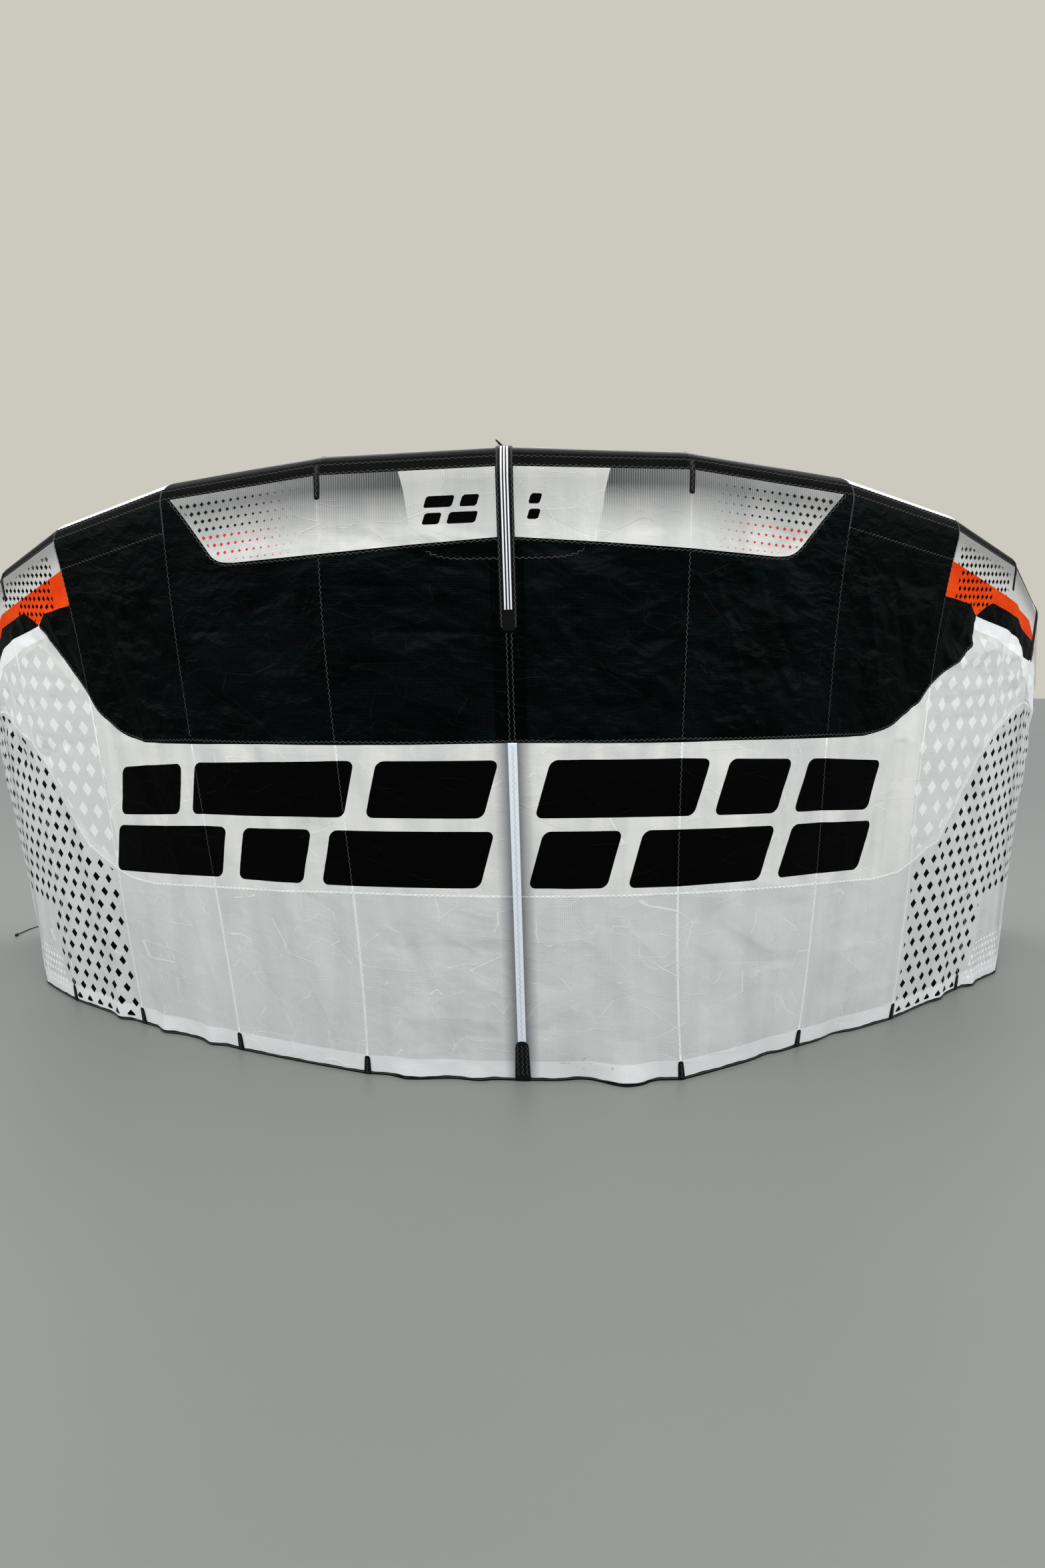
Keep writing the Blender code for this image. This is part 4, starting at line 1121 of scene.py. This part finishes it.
def canopy_columns(part):
    """Span places of a part's mesh columns, with one on each rib."""
    places = []
    for rib in range(part.low, part.high):
        steps = math.ceil(BAY[rib + TIP_RIB] / part.cell)
        places.extend(rib + np.arange(steps) / steps)
    return np.array([*places, part.high])


def make_canopy(part, material, band):
    """One of the cloth's three parts, from inside the binding up to where it ends on the tube."""
    columns = canopy_columns(part)
    height = CHORD[part.low + TIP_RIB:part.high + TIP_RIB + 1].max()
    rows = math.ceil(height / part.cell)
    share = column(np.linspace(0.0, 1.0, rows))
    lap = column(np.linspace(0.0, 1.0, LAP_ROWS))
    lap_v = np.interp(columns, RIB_S, LAP_V)
    foot_v = CANOPY_FOOT / np.interp(columns, RIB_S, LE[:, 2])
    v = np.vstack([foot_v + (1 - foot_v) * share, BAND_V + (lap_v - BAND_V) * lap]).ravel()
    s = np.tile(columns, rows + LAP_ROWS)
    faces = grid_faces(rows + LAP_ROWS, len(columns))
    replaced = numbered_bays("canopy", part.low, part.high)
    piece = add_piece(part.name, surface(s, v), faces, material, replaced)
    piece.data.materials.append(band)
    in_band = np.arange(len(faces)) // (len(columns) - 1) >= rows
    piece.data.polygons.foreach_set("material_index", in_band.astype(np.int32))
    u, h = flat(s, v)
    add_place(piece, u, h, v)
    for name, distance in paint_distances(s, v).items():
        add_attribute(piece, name, distance)
    add_attribute(piece, "rib", np.abs(u - span_place(np.rint(s))))
    for number, net in enumerate(NETS):
        p, q = net_place(net, u, h)
        add_attribute(piece, f"net{number}", np.column_stack([p, q, 0 * p]))
    cloth_area(part)


def cloth_area(part):
    """Flat area of the cut, from the bays' widths and chords."""
    bays = slice(part.low + TIP_RIB, part.high + TIP_RIB)
    after = slice(part.low + TIP_RIB + 1, part.high + TIP_RIB + 1)
    return float((BAY[bays] * (CHORD[bays] * LAP_V[bays] + CHORD[after] * LAP_V[after]) / 2).sum())


CANOPY_MATERIAL = canopy_material()
BAND_MATERIAL = band_material()
for canopy_part in CANOPY_PARTS:
    make_canopy(canopy_part, CANOPY_MATERIAL, BAND_MATERIAL)


# ---------------------------------------------------------------- inflated tubes
TUBE_SIDES = 56
TUBE_CELL = 0.010
TUBE_MEAN_R = 0.07          # turns an angle round the tube into a length, for its weave
SEAM_DEPTH = 0.0012         # a ring seam draws the tube in by this, over SEAM_REACH
SEAM_REACH = 0.004
PUCKER_DEPTH = 0.0022
PUCKER_REACH = 0.045
PUCKERS = 17                # round the tube beside each seam
TUBE_SAG = 0.0010
# How far out the rings at a tip lie and how wide they are, in radii of the tube.
TIP_ROUNDING = np.array([
    (0.20, 0.985), (0.45, 0.90), (0.64, 0.77), (0.80, 0.58), (0.90, 0.36), (0.95, 0.12),
])


def turns_round(sides):
    """Angles of the points round a tube."""
    return 2 * math.pi * np.arange(sides) / sides


def tube_rings(low, high):
    """Rings of the leading edge tube from rib low to rib high, and their places along the span."""
    rings, along = [], []
    for rib in range(low, high):
        i = rib + TIP_RIB
        length = np.linalg.norm(LE[i + 1] - LE[i])
        steps = math.ceil(length / TUBE_CELL)
        for step in range(steps + (rib == high - 1)):
            t = step / steps
            rings.append((rib, t, min(t * length, (1 - t) * length)))
            along.append(span_place(rib + t))
    return rings, np.array(along)


def tube_points(rings):
    """Points of the rings, drawn in at each seam and puckered beside it."""
    turn = turns_round(TUBE_SIDES)
    hollow = held(-np.cos(turn))
    verts = []
    for rib, t, from_seam in rings:
        i = rib + TIP_RIB
        pucker = 0.5 + 0.5 * np.cos(turn * PUCKERS + 5 * rib)
        draw = SEAM_DEPTH * math.exp(-(from_seam / SEAM_REACH) ** 2)
        draw = draw + PUCKER_DEPTH * hollow * pucker * math.exp(-from_seam / PUCKER_REACH)
        sag = TUBE_SAG * math.sin(math.pi * t) * np.sin(3 * turn + rib)
        inward = draw + np.abs(sag) * hollow
        first, last = (LE[k] + column(TUBE_R[k] - inward) * round_tube(k, turn) for k in (i, i + 1))
        verts.append(first * (1 - t) + last * t)
    return np.array(verts)


def round_tip(tip, points, along):
    """Adds the rounded end of the tube at a tip to its rings and to their places along the span."""
    end = 0 if tip < 0 else -1
    reach = math.copysign(TUBE_R[end], tip)
    cap = [LE[end] + SPAN[end] * reach * far + (points[end] - LE[end]) * wide for far, wide in TIP_ROUNDING]
    cap_along = along[end] + reach * TIP_ROUNDING[:, 0]
    if tip < 0:
        return np.concatenate([cap[::-1], points]), np.concatenate([cap_along[::-1], along])
    return np.concatenate([points, cap]), np.concatenate([along, cap_along])


def add_tube(name, points, turn, along, material, replaced):
    """An inflated piece from its rings; turn and along are the rings' flat places."""
    rings, sides = points.shape[:2]
    faces = closed_tube_faces(rings, sides)
    piece = add_piece(name, points.reshape(-1, 3), faces, material, replaced)
    add_place(piece, np.tile(turn, rings), np.repeat(along, sides))


def make_tube(name, low, high, material):
    rings, along = tube_rings(low, high)
    points = tube_points(rings)
    for tip in (low, high):
        if abs(tip) == TIP_RIB:
            points, along = round_tip(tip, points, along)
    turn = turns_round(TUBE_SIDES) * TUBE_MEAN_R
    add_tube(name, points, turn, along, material, numbered_bays("le_tube", low, high))


BLACK_TUBE = tube_material("black_tube_cloth", srgb(3, 3, 3), srgb(14, 14, 14), 0.34, specular=0.03)
WHITE_TUBE = tube_material("white_tube_cloth", srgb(196, 199, 202), srgb(220, 222, 224), 0.42)
make_tube("tube_left", -TIP_RIB, -2, WHITE_TUBE)
make_tube("tube_middle", -2, 2, BLACK_TUBE)
make_tube("tube_right", 2, TIP_RIB, WHITE_TUBE)

STRUT_RADIUS_TOP = 0.046
STRUT_RADIUS_FOOT = 0.028
STRUT_FOOT_V = 0.045
STRUT_BEHIND = 0.0006
STRUT_CLEAR = 0.0009
STRUT_CELL = 0.012
STRUT_SIDES = 40
STRUT_END = 0.25            # width of a strut's closed ends, as a share
STRUT_ROUNDING = 0.9        # how far its ends draw in, in radii
STRUTS = {"strut_centre": 0, "strut_left": -OUTER_STRUT_RIB, "strut_right": OUTER_STRUT_RIB}


def strut_rings(rib):
    """Places along a strut, their centres and their radii, with both ends drawn in."""
    i = rib + TIP_RIB
    scale = TUBE_R[i] / TUBE_R[TIP_RIB]
    half_bend = math.acos(np.clip(np.dot(SPAN[i], AHEAD[i]), -1, 1))
    clear = STRUT_CLEAR + scale * STRUT_RADIUS_TOP * math.tan(half_bend)
    v_top = 1 - (TUBE_R[i] + clear) / np.dot(TE[i] - LE[i], DOWN[i])
    length = (v_top - STRUT_FOOT_V) * CHORD[i]
    share = np.linspace(0, 1, math.ceil(length / STRUT_CELL) + 1)
    radius = scale * (STRUT_RADIUS_FOOT + (STRUT_RADIUS_TOP - STRUT_RADIUS_FOOT) * share)
    from_end = np.minimum(np.minimum(share, 1 - share) * length / radius / STRUT_ROUNDING, 1.0)
    draw = np.sqrt(np.maximum(1 - (1 - from_end) ** 2, 0.0)) * (1 - STRUT_END) + STRUT_END
    v = STRUT_FOOT_V + (v_top - STRUT_FOOT_V) * share
    front = rib_point(np.full(len(v), rib), v, np.full(len(v), STRUT_CLEAR))
    centre = front - column(radius + STRUT_BEHIND) * OUT[i]
    return share * length, centre, radius * draw


def make_strut(name, rib, material):
    """An inflated strut behind the cloth."""
    i = rib + TIP_RIB
    along, centre, radius = strut_rings(rib)
    turn = turns_round(STRUT_SIDES)
    radial = column(np.cos(turn)) * OUT[i] + column(np.sin(turn)) * SPAN[i]
    points = centre[:, None, :] + radial * radius[:, None, None]
    add_tube(name + "_tube", points, turn * STRUT_RADIUS_TOP, along, material, [name])


STRUT_CLOTH = tube_material("strut_cloth", srgb(190, 193, 197), srgb(212, 214, 217), 0.45)
for strut_name, strut_rib in STRUTS.items():
    make_strut(strut_name, strut_rib, STRUT_CLOTH)


# ---------------------------------------------------------------- strips, tabs and binding
STRIP_CELL = 0.003
STRIP_COLUMNS = 13
STRIP_END = 0.30            # width of a strip's rounded end, as a share
EDGE_REACH = 0.0015         # a strip thins over this towards its ends
THINNEST = 0.15
STRIP_OFF_FLOOR = 0.0003
PATCH_WIDTH = 0.046
PATCH_THICK = 0.0014
TAPE_WIDTH = 0.026
TAPE_THICK = 0.0008
TAB_FOOT = {1: 0.977, 4: 0.963}     # chord place where each leading edge tab ends
TAB_BELOW_LAP = 0.006
TAB_WIDTH = 0.016
TAB_THICK = 0.0018
FOOT_TAB_HEIGHT = 0.060
FOOT_TAB_WIDTHS = (0.026, 0.018)
CAP_WIDTHS = (0.050, 0.040)
CAP_THICK = 0.0042
ON_BINDING = 0.0033         # underside of a tab over the binding, and of the cap over that
CAP_ON_BINDING = 0.0036
TAB_RIBS = (-4, -1, 1, 4)
FOOT_TAB_RIBS = (-4, -3, -2, -1, 1, 2, 3, 4)


def strip_grid(rows, columns):
    """Shares up a strip, from 0 to 1, and across it, from -1 to 1, at each of its points."""
    up = column(np.linspace(0.0, 1.0, rows)) * np.ones(columns)
    across = np.linspace(-1.0, 1.0, columns) * np.ones((rows, 1))
    return up, across


def shell(name, front, back, columns, material, replaced, across, along):
    """A closed thin piece from two grids of points, front and back, of the same shape."""
    count = len(front)
    face = grid_faces(count // columns, columns)
    index = np.arange(count).reshape(-1, columns)
    rim = np.concatenate([index[0, :-1], index[:-1, -1], index[-1, :0:-1], index[:0:-1, 0]])
    after = np.roll(rim, -1)
    walls = np.column_stack([after, rim, rim + count, after + count])
    faces = np.concatenate([face, face[:, ::-1] + count, walls])
    piece = add_piece(name, np.concatenate([front, back]), faces, material, replaced)
    add_place(piece, np.tile(across, 2), np.tile(along, 2))


def make_strip(name, rib, chord, widths, thick, material, slot, replaced=(), off=ON_CLOTH, rounded=None):
    """A sewn-on strip that straddles a rib between two chord places, with its widths there.

    It is crowned across, and rounded is "low" or "high" where one of its ends is.
    """
    v_low, v_high = chord
    length = (v_high - v_low) * CHORD[rib + TIP_RIB]
    up, side = strip_grid(max(math.ceil(length / STRIP_CELL), 8), STRIP_COLUMNS)
    width = widths[0] + (widths[1] - widths[0]) * up
    if rounded:
        from_end = (up if rounded == "low" else 1 - up) * length
        reach = held(1 - from_end / (width / 2))
        width = width * (STRIP_END + (1 - STRIP_END) * np.sqrt(1 - reach ** 2))
    v = (v_low + (v_high - v_low) * up).ravel()
    across = (side * width / 2).ravel()
    bay = np.where(across > 0, BAY[rib + TIP_RIB], BAY[rib + TIP_RIB - 1])
    s = rib + across / bay
    crown = 1 - np.abs(side.ravel()) ** 8
    ends = np.clip(np.minimum(up, 1 - up).ravel() * length / EDGE_REACH, THINNEST, 1.0)
    front = surface(s, v, off + thick * np.maximum(crown * ends, THINNEST))
    back = surface(s, v, off)
    for points in (front, back):
        points[:, 2] = np.maximum(points[:, 2], STRIP_OFF_FLOOR)
    shell(name, front, back, STRIP_COLUMNS, material, replaced, across, (up * length).ravel())


WEBBING = woven_material("black_webbing", srgb(5, 5, 5), srgb(22, 23, 23), 0.0026, specular=0.08)
PATCH_CLOTH = patch_material()
WHITE_TAPE_CLOTH = woven_material("white_tape_cloth", srgb(212, 220, 230), srgb(232, 238, 245), 0.0024,
                                  roughness=0.5, bump=0.0002)


def make_strips():
    patch = (PATCH_WIDTH, PATCH_WIDTH)
    make_strip("patch_centre", 0, (0.758, 1.078), patch, PATCH_THICK, PATCH_CLOTH, "black_cloth",
               ["strut_patch_centre"], rounded="low")
    for side, rib in (("right", OUTER_STRUT_RIB), ("left", -OUTER_STRUT_RIB)):
        make_strip(f"patch_{side}", rib, (0.87, 1.07), patch, PATCH_THICK, WEBBING, "black_cloth",
                   [f"strut_patch_{side}"], rounded="low")
    make_strip("strut_tape", 0, (0.066, 0.580), (TAPE_WIDTH, TAPE_WIDTH), TAPE_THICK, WHITE_TAPE_CLOTH,
               "white_cloth")
    for rib in TAB_RIBS:
        chord = (TAB_FOOT[abs(rib)], LAP_V[rib + TIP_RIB] - TAB_BELOW_LAP)
        make_strip(*numbered("tab", [rib]), rib, chord, (TAB_WIDTH, TAB_WIDTH), TAB_THICK, WEBBING,
                   "black_tape", numbered("le_tab", [rib]), rounded="low")
    for rib in FOOT_TAB_RIBS:
        chord = (0.0, FOOT_TAB_HEIGHT / LE[rib + TIP_RIB, 2])
        make_strip(*numbered("foot_tab", [rib]), rib, chord, FOOT_TAB_WIDTHS, TAB_THICK, WEBBING,
                   "black_tape", numbered("te_tab", [rib]), off=ON_BINDING, rounded="high")
    make_strip("foot_cap", 0, (0.0, 0.0715), CAP_WIDTHS, CAP_THICK, WEBBING, "black_tape",
               ["te_cap_centre"], off=CAP_ON_BINDING, rounded="high")


make_strips()

# Round the folded tape: outward in metres, and up as a share of its height.
BINDING_PROFILE = [(-0.00125, 0.9), (-0.00125, 0.1), (-0.0008, 0.0), (0.0008, 0.0), (0.00125, 0.1),
                   (0.0014, 0.5), (0.00125, 0.9), (0.0008, 1.0), (-0.0008, 1.0)]
BINDING_STEPS = 40          # in each bay


def make_binding(name, low, high, replaced):
    """Tape folded round the cloth's lower edge, a little uneven in height."""
    s = np.linspace(low, high, (high - low) * BINDING_STEPS + 1)
    foot = surface(s, 0.0, off=0.0)
    along = unit(np.gradient(foot, axis=0) * (1, 1, 0))
    out = np.column_stack([along[:, 1], -along[:, 0], np.zeros(len(s))])
    height = BINDING_HEIGHT + (0.0010 * np.sin(s * 23.0) + 0.0006 * np.sin(s * 61.0))
    rings = []
    for across, up in BINDING_PROFILE:
        ring = foot + out * (across + CLOTH_OFF)
        ring[:, 2] = OFF_FLOOR + up * height
        rings.append(ring)
    points = np.stack(rings, axis=1).reshape(-1, 3)
    sides = len(BINDING_PROFILE)
    piece = add_piece(name, points, closed_tube_faces(len(s), sides), WEBBING, replaced)
    add_place(piece, points[:, 2], np.repeat(span_place(s), sides))


make_binding("binding_left", -TIP_RIB, 0, ["te_binding_l_inner", "te_binding_l_outer"])
make_binding("binding_right", 0, TIP_RIB, ["te_binding_r_inner", "te_binding_r_outer"])

STUB_LENGTH = 0.037
STUB_WIDTHS = (0.0100, 0.0036)      # at its foot and at its end
STUB_THICK = 0.0020
STUB_BOW = 0.003
STUB_LEAN = 0.85                    # to the left, as a share of its height
STUB_TURN = math.radians(106)       # round the tube, from its front
STUB_OFF = 0.0005


def make_stub():
    """A short end of webbing that stands up behind the centre patch."""
    i = TIP_RIB
    radial = round_tube(i, STUB_TURN)
    base = LE[i] + radial * (TUBE_R[i] + STUB_OFF)
    ahead = unit(radial - SPAN[i] * STUB_LEAN)
    side = unit(np.cross(ahead, OUT[i]))
    columns = 7
    up, share = strip_grid(14, columns)
    foot, end = STUB_WIDTHS
    across = share * (foot + (end - foot) * up) / 2
    along = up * STUB_LENGTH
    centre = base + column(along) * ahead + column(STUB_BOW * np.sin(math.pi * up)) * OUT[i]
    middle = (centre + column(across) * side).reshape(-1, 3)
    half = STUB_THICK / 2 * OUT[i]
    shell("stub", middle + half, middle - half, columns, WEBBING, ["stub_webbing"],
          across.ravel(), along.ravel())


make_stub()


# ---------------------------------------------------------------- stitching
STITCH = 0.0165             # length of one zigzag
STITCH_SWING = 0.0028
STITCH_LIFT = 0.0004
THREAD = 0.00070            # half the thread's width
BESIDE_EDGE = 0.006         # a row of stitches inside an edge of the black cloth
RIB_SWING = 0.0024
STRIP_SWING = 0.0016
# Chord places of rows of stitches, and between which they run on ribs.
BAND_SEAMS = (1.0335, 1.0175)
BINDING_SEAM = 0.0036
GREY_ON_RIB = {1: (0.584, 0.885), 2: (0.60, 0.955), 3: (0.70, 0.955)}
GREY_ON_CENTRE = (0.585, 0.756)
GREY_ON_FOOT_CAP = (0.012, 0.064)
GREY_ON_PATCH = (0.765, 1.075)
WHITE_ON_TAPE = (0.075, 0.575)
WHITE_ON_INNER_RIB = (0.045, 0.575)
WHITE_ON_OUTER_RIB = (0.045, 0.80)
# How far stitches lie above the cloth where they run over more than it.
LIFT_SECOND_ROW = 0.0012
LIFT_ON_PATCH = 0.0022
LIFT_ON_TAB = 0.0026
LIFT_ON_FOOT_TAB = 0.0040
LIFT_ON_FOOT_CAP = 0.0068
LIFT_ON_BINDING = 0.0017
LIFT_ON_TAPE = 0.0016
LIFT_ON_LAP = 0.0006


def resample(line, step):
    """Points step apart along a line of flat places."""
    reach = np.concatenate([[0.0], np.cumsum(np.hypot(*np.diff(line, axis=0).T))])
    count = max(int(reach[-1] / step), 2)
    at = np.linspace(0.0, reach[-1], count + 1)
    return np.column_stack([np.interp(at, reach, line[:, 0]), np.interp(at, reach, line[:, 1])])


def zigzag(line, shift=0.0, swing=STITCH_SWING, lift=STITCH_LIFT, stitch=STITCH):
    """Points of one row of zigzag stitches along a line of (s, v), shift metres to its left."""
    line = np.array(line, float)
    dense = [np.linspace(p, q, 12, endpoint=False) for p, q in zip(line, line[1:])]
    path = resample(np.column_stack(flat(*np.vstack([*dense, line[-1:]]).T)), stitch / 2)
    ahead = unit(np.gradient(path, axis=0))
    aside = np.column_stack([-ahead[:, 1], ahead[:, 0]])
    s, v = unflat(*(path + aside * column(shift + swing * across_seam(len(path)))).T)
    points = surface(s, v, off=CLOTH_OFF + lift)
    points[:, 2] = np.maximum(points[:, 2], THREAD)
    return points, outward(s, v)


class Threads:
    """Collects rows of stitches and makes one piece of them."""

    def __init__(self):
        self.verts = []
        self.faces = []
        self.count = 0

    def add(self, points, out):
        ahead = unit(np.gradient(points, axis=0))
        side = unit(np.cross(out, ahead)) * THREAD
        rings = np.stack([points - side, points + out * THREAD, points + side], axis=1)
        self.verts.append(rings.reshape(-1, 3))
        self.faces.append(grid_faces(len(points), 3, ring=True) + self.count)
        self.count += 3 * len(points)

    def sew(self, line, **style):
        self.add(*zigzag(line, **style))

    def make(self, name, thread, colour, slot):
        material = thread_material(thread, colour)
        add_piece(name, np.vstack(self.verts), np.vstack(self.faces), material)


def ring_seam(rib):
    """Stitches round the tube at a rib, from past the cloth's lap round to below the canopy."""
    i = rib + TIP_RIB
    steps = int(2 * math.pi * TUBE_R[i] / (STITCH / 2))
    turn = np.linspace(LAP_ANGLE + 0.10, 2 * math.pi - 0.25, steps)
    out = round_tube(i, turn)
    swing = column(STITCH_SWING * across_seam(steps))
    return LE[i] + out * (TUBE_R[i] + STITCH_LIFT) + swing * SPAN[i], out


def strut_seam(rib, turn):
    """Stitches along a strut, at an angle round it from the cloth."""
    i = rib + TIP_RIB
    along, centre, radius = strut_rings(rib)
    stops = np.arange(2 * STITCH, along[-1] - 2 * STITCH, STITCH / 2)
    out = math.cos(turn) * OUT[i] + math.sin(turn) * SPAN[i]
    side = -math.sin(turn) * OUT[i] + math.cos(turn) * SPAN[i]
    swing = column(STITCH_SWING * across_seam(len(stops)))
    middle = np.column_stack([np.interp(stops, along, line) for line in centre.T])
    points = middle + column(np.interp(stops, along, radius) + STITCH_LIFT) * out + swing * side
    return points, np.tile(out, (len(stops), 1))


def rib_line(rib, v_low, v_high):
    return [(rib, v_low), (rib, v_high)]


def level_line(v):
    """A line across the whole kite at one chord place, with a point on each rib."""
    return [(s, v) for s in RIB_S]


def both_sides(line):
    line = np.array(line, float)
    return [line, line[::-1] * (-1, 1)]


def sew_rib(white, grey, rib, v_low, v_high):
    """White stitches on a rib, but grey where the dark print runs over them."""
    points, out = zigzag(rib_line(rib, v_low, v_high), swing=0.0018)
    v = np.linspace(v_low, v_high, len(points))
    u = np.full(len(points), RIB_U[rib + TIP_RIB])
    printed = bar_distance(v, u, v * CHORD[rib + TIP_RIB]) > 0
    for run in np.split(np.arange(len(points)), np.flatnonzero(np.diff(printed)) + 1):
        if len(run) > 1:
            (grey if printed[run[0]] else white).add(points[run], out[run])


def sew_black_panels(grey):
    """Along the band, the edges of the black cloth and the seams above it."""
    for v in BAND_SEAMS:
        grey.sew(level_line(v))
    corner = BLACK_EDGE[0]
    foot = [(-corner.left, corner.v), *BLACK_FOOT[::-1], (corner.right, corner.v)]
    grey.sew(smooth(foot), shift=BESIDE_EDGE)
    for side in (1, -1):
        grey.sew(black_side(side), shift=side * BESIDE_EDGE)
    for line in both_sides(smooth(UPPER_CORNER + UPPER_FOOT)):
        grey.sew(line, shift=BESIDE_EDGE if line[0, 0] > line[-1, 0] else -BESIDE_EDGE)
    for half in (smooth(CENTRE_FOOT), UPPER_SEAM):
        for line in both_sides(half):
            grey.sew(line)


def sew_inner_ribs(grey):
    """On the seams between the inner panels, and round the black tube."""
    for inner, (v_low, v_high) in GREY_ON_RIB.items():
        for rib in (inner, -inner):
            grey.sew(rib_line(rib, v_low, v_high), swing=RIB_SWING)
            if inner > 1:
                seam = rib_line(rib, v_high, LAP_V[rib + TIP_RIB] - 0.004)
                grey.sew(seam, swing=RIB_SWING)
                grey.sew(seam, swing=-RIB_SWING, lift=LIFT_SECOND_ROW)
    for shift in (-0.007, 0.007):
        grey.sew(rib_line(0, *GREY_ON_CENTRE), shift=shift, swing=0.0022)
    for rib in range(-1, 2):
        grey.add(*ring_seam(rib))


def sew_strips(grey):
    """On the centre patch, the tabs, the cap and the binding."""
    for side in (-1, 1):
        s = side * 0.019 / BAY[TIP_RIB]
        patch_edge = [(s, v) for v in np.linspace(*GREY_ON_PATCH, 40)]
        grey.sew(patch_edge, lift=LIFT_ON_PATCH, swing=STRIP_SWING)
    for rib in FOOT_TAB_RIBS:
        top = FOOT_TAB_HEIGHT / LE[rib + TIP_RIB, 2]
        grey.sew(rib_line(rib, 0.1 * top, 0.85 * top), lift=LIFT_ON_FOOT_TAB, swing=RIB_SWING)
    for shift in (-0.014, 0.0, 0.014):
        grey.sew(rib_line(0, *GREY_ON_FOOT_CAP), shift=shift, lift=LIFT_ON_FOOT_CAP)
    for rib in TAB_RIBS:
        tab = rib_line(rib, TAB_FOOT[abs(rib)] + 0.005, LAP_V[rib + TIP_RIB] - 0.01)
        grey.sew(tab, lift=LIFT_ON_TAB, swing=0.0030)
    grey.sew(level_line(BINDING_SEAM), swing=STRIP_SWING, lift=LIFT_ON_BINDING, stitch=0.008)


def sew_white(white, grey):
    """White thread on the white cloth, tape, tube and struts."""
    white.sew(mirrored(LOWER_SEAM))
    for rib in (*range(-TIP_RIB, -1), *range(2, TIP_RIB + 1)):
        white.add(*ring_seam(rib))
    for rib in range(1 - TIP_RIB, TIP_RIB):
        if rib:
            sew_rib(white, grey, rib, *(WHITE_ON_INNER_RIB if abs(rib) < 4 else WHITE_ON_OUTER_RIB))
    white.sew(rib_line(0, *WHITE_ON_TAPE), lift=LIFT_ON_TAPE)
    for rib in sorted(STRUTS.values()):
        for turn in (0.75 * math.pi, 1.25 * math.pi):
            white.add(*strut_seam(rib, turn))


def sew_black(black):
    """Black thread along the cloth's edge on the white tube."""
    for side in (-1, 1):
        ribs = side * np.arange(2.05, TIP_RIB, 0.25)
        edge = np.column_stack([ribs, np.interp(ribs, RIB_S, LAP_V) - 0.001])
        black.sew(edge, swing=RIB_SWING, lift=LIFT_ON_LAP)


grey_thread, white_thread, black_thread = Threads(), Threads(), Threads()
sew_black_panels(grey_thread)
sew_inner_ribs(grey_thread)
sew_strips(grey_thread)
sew_white(white_thread, grey_thread)
sew_black(black_thread)
grey_thread.make("stitches_grey", "grey_thread", srgb(98, 99, 96), "black_tape")
black_thread.make("stitches_black", "black_thread", srgb(22, 23, 24), "black_tape")
white_thread.make("stitches_white", "white_thread", srgb(216, 218, 219), "white_cloth")
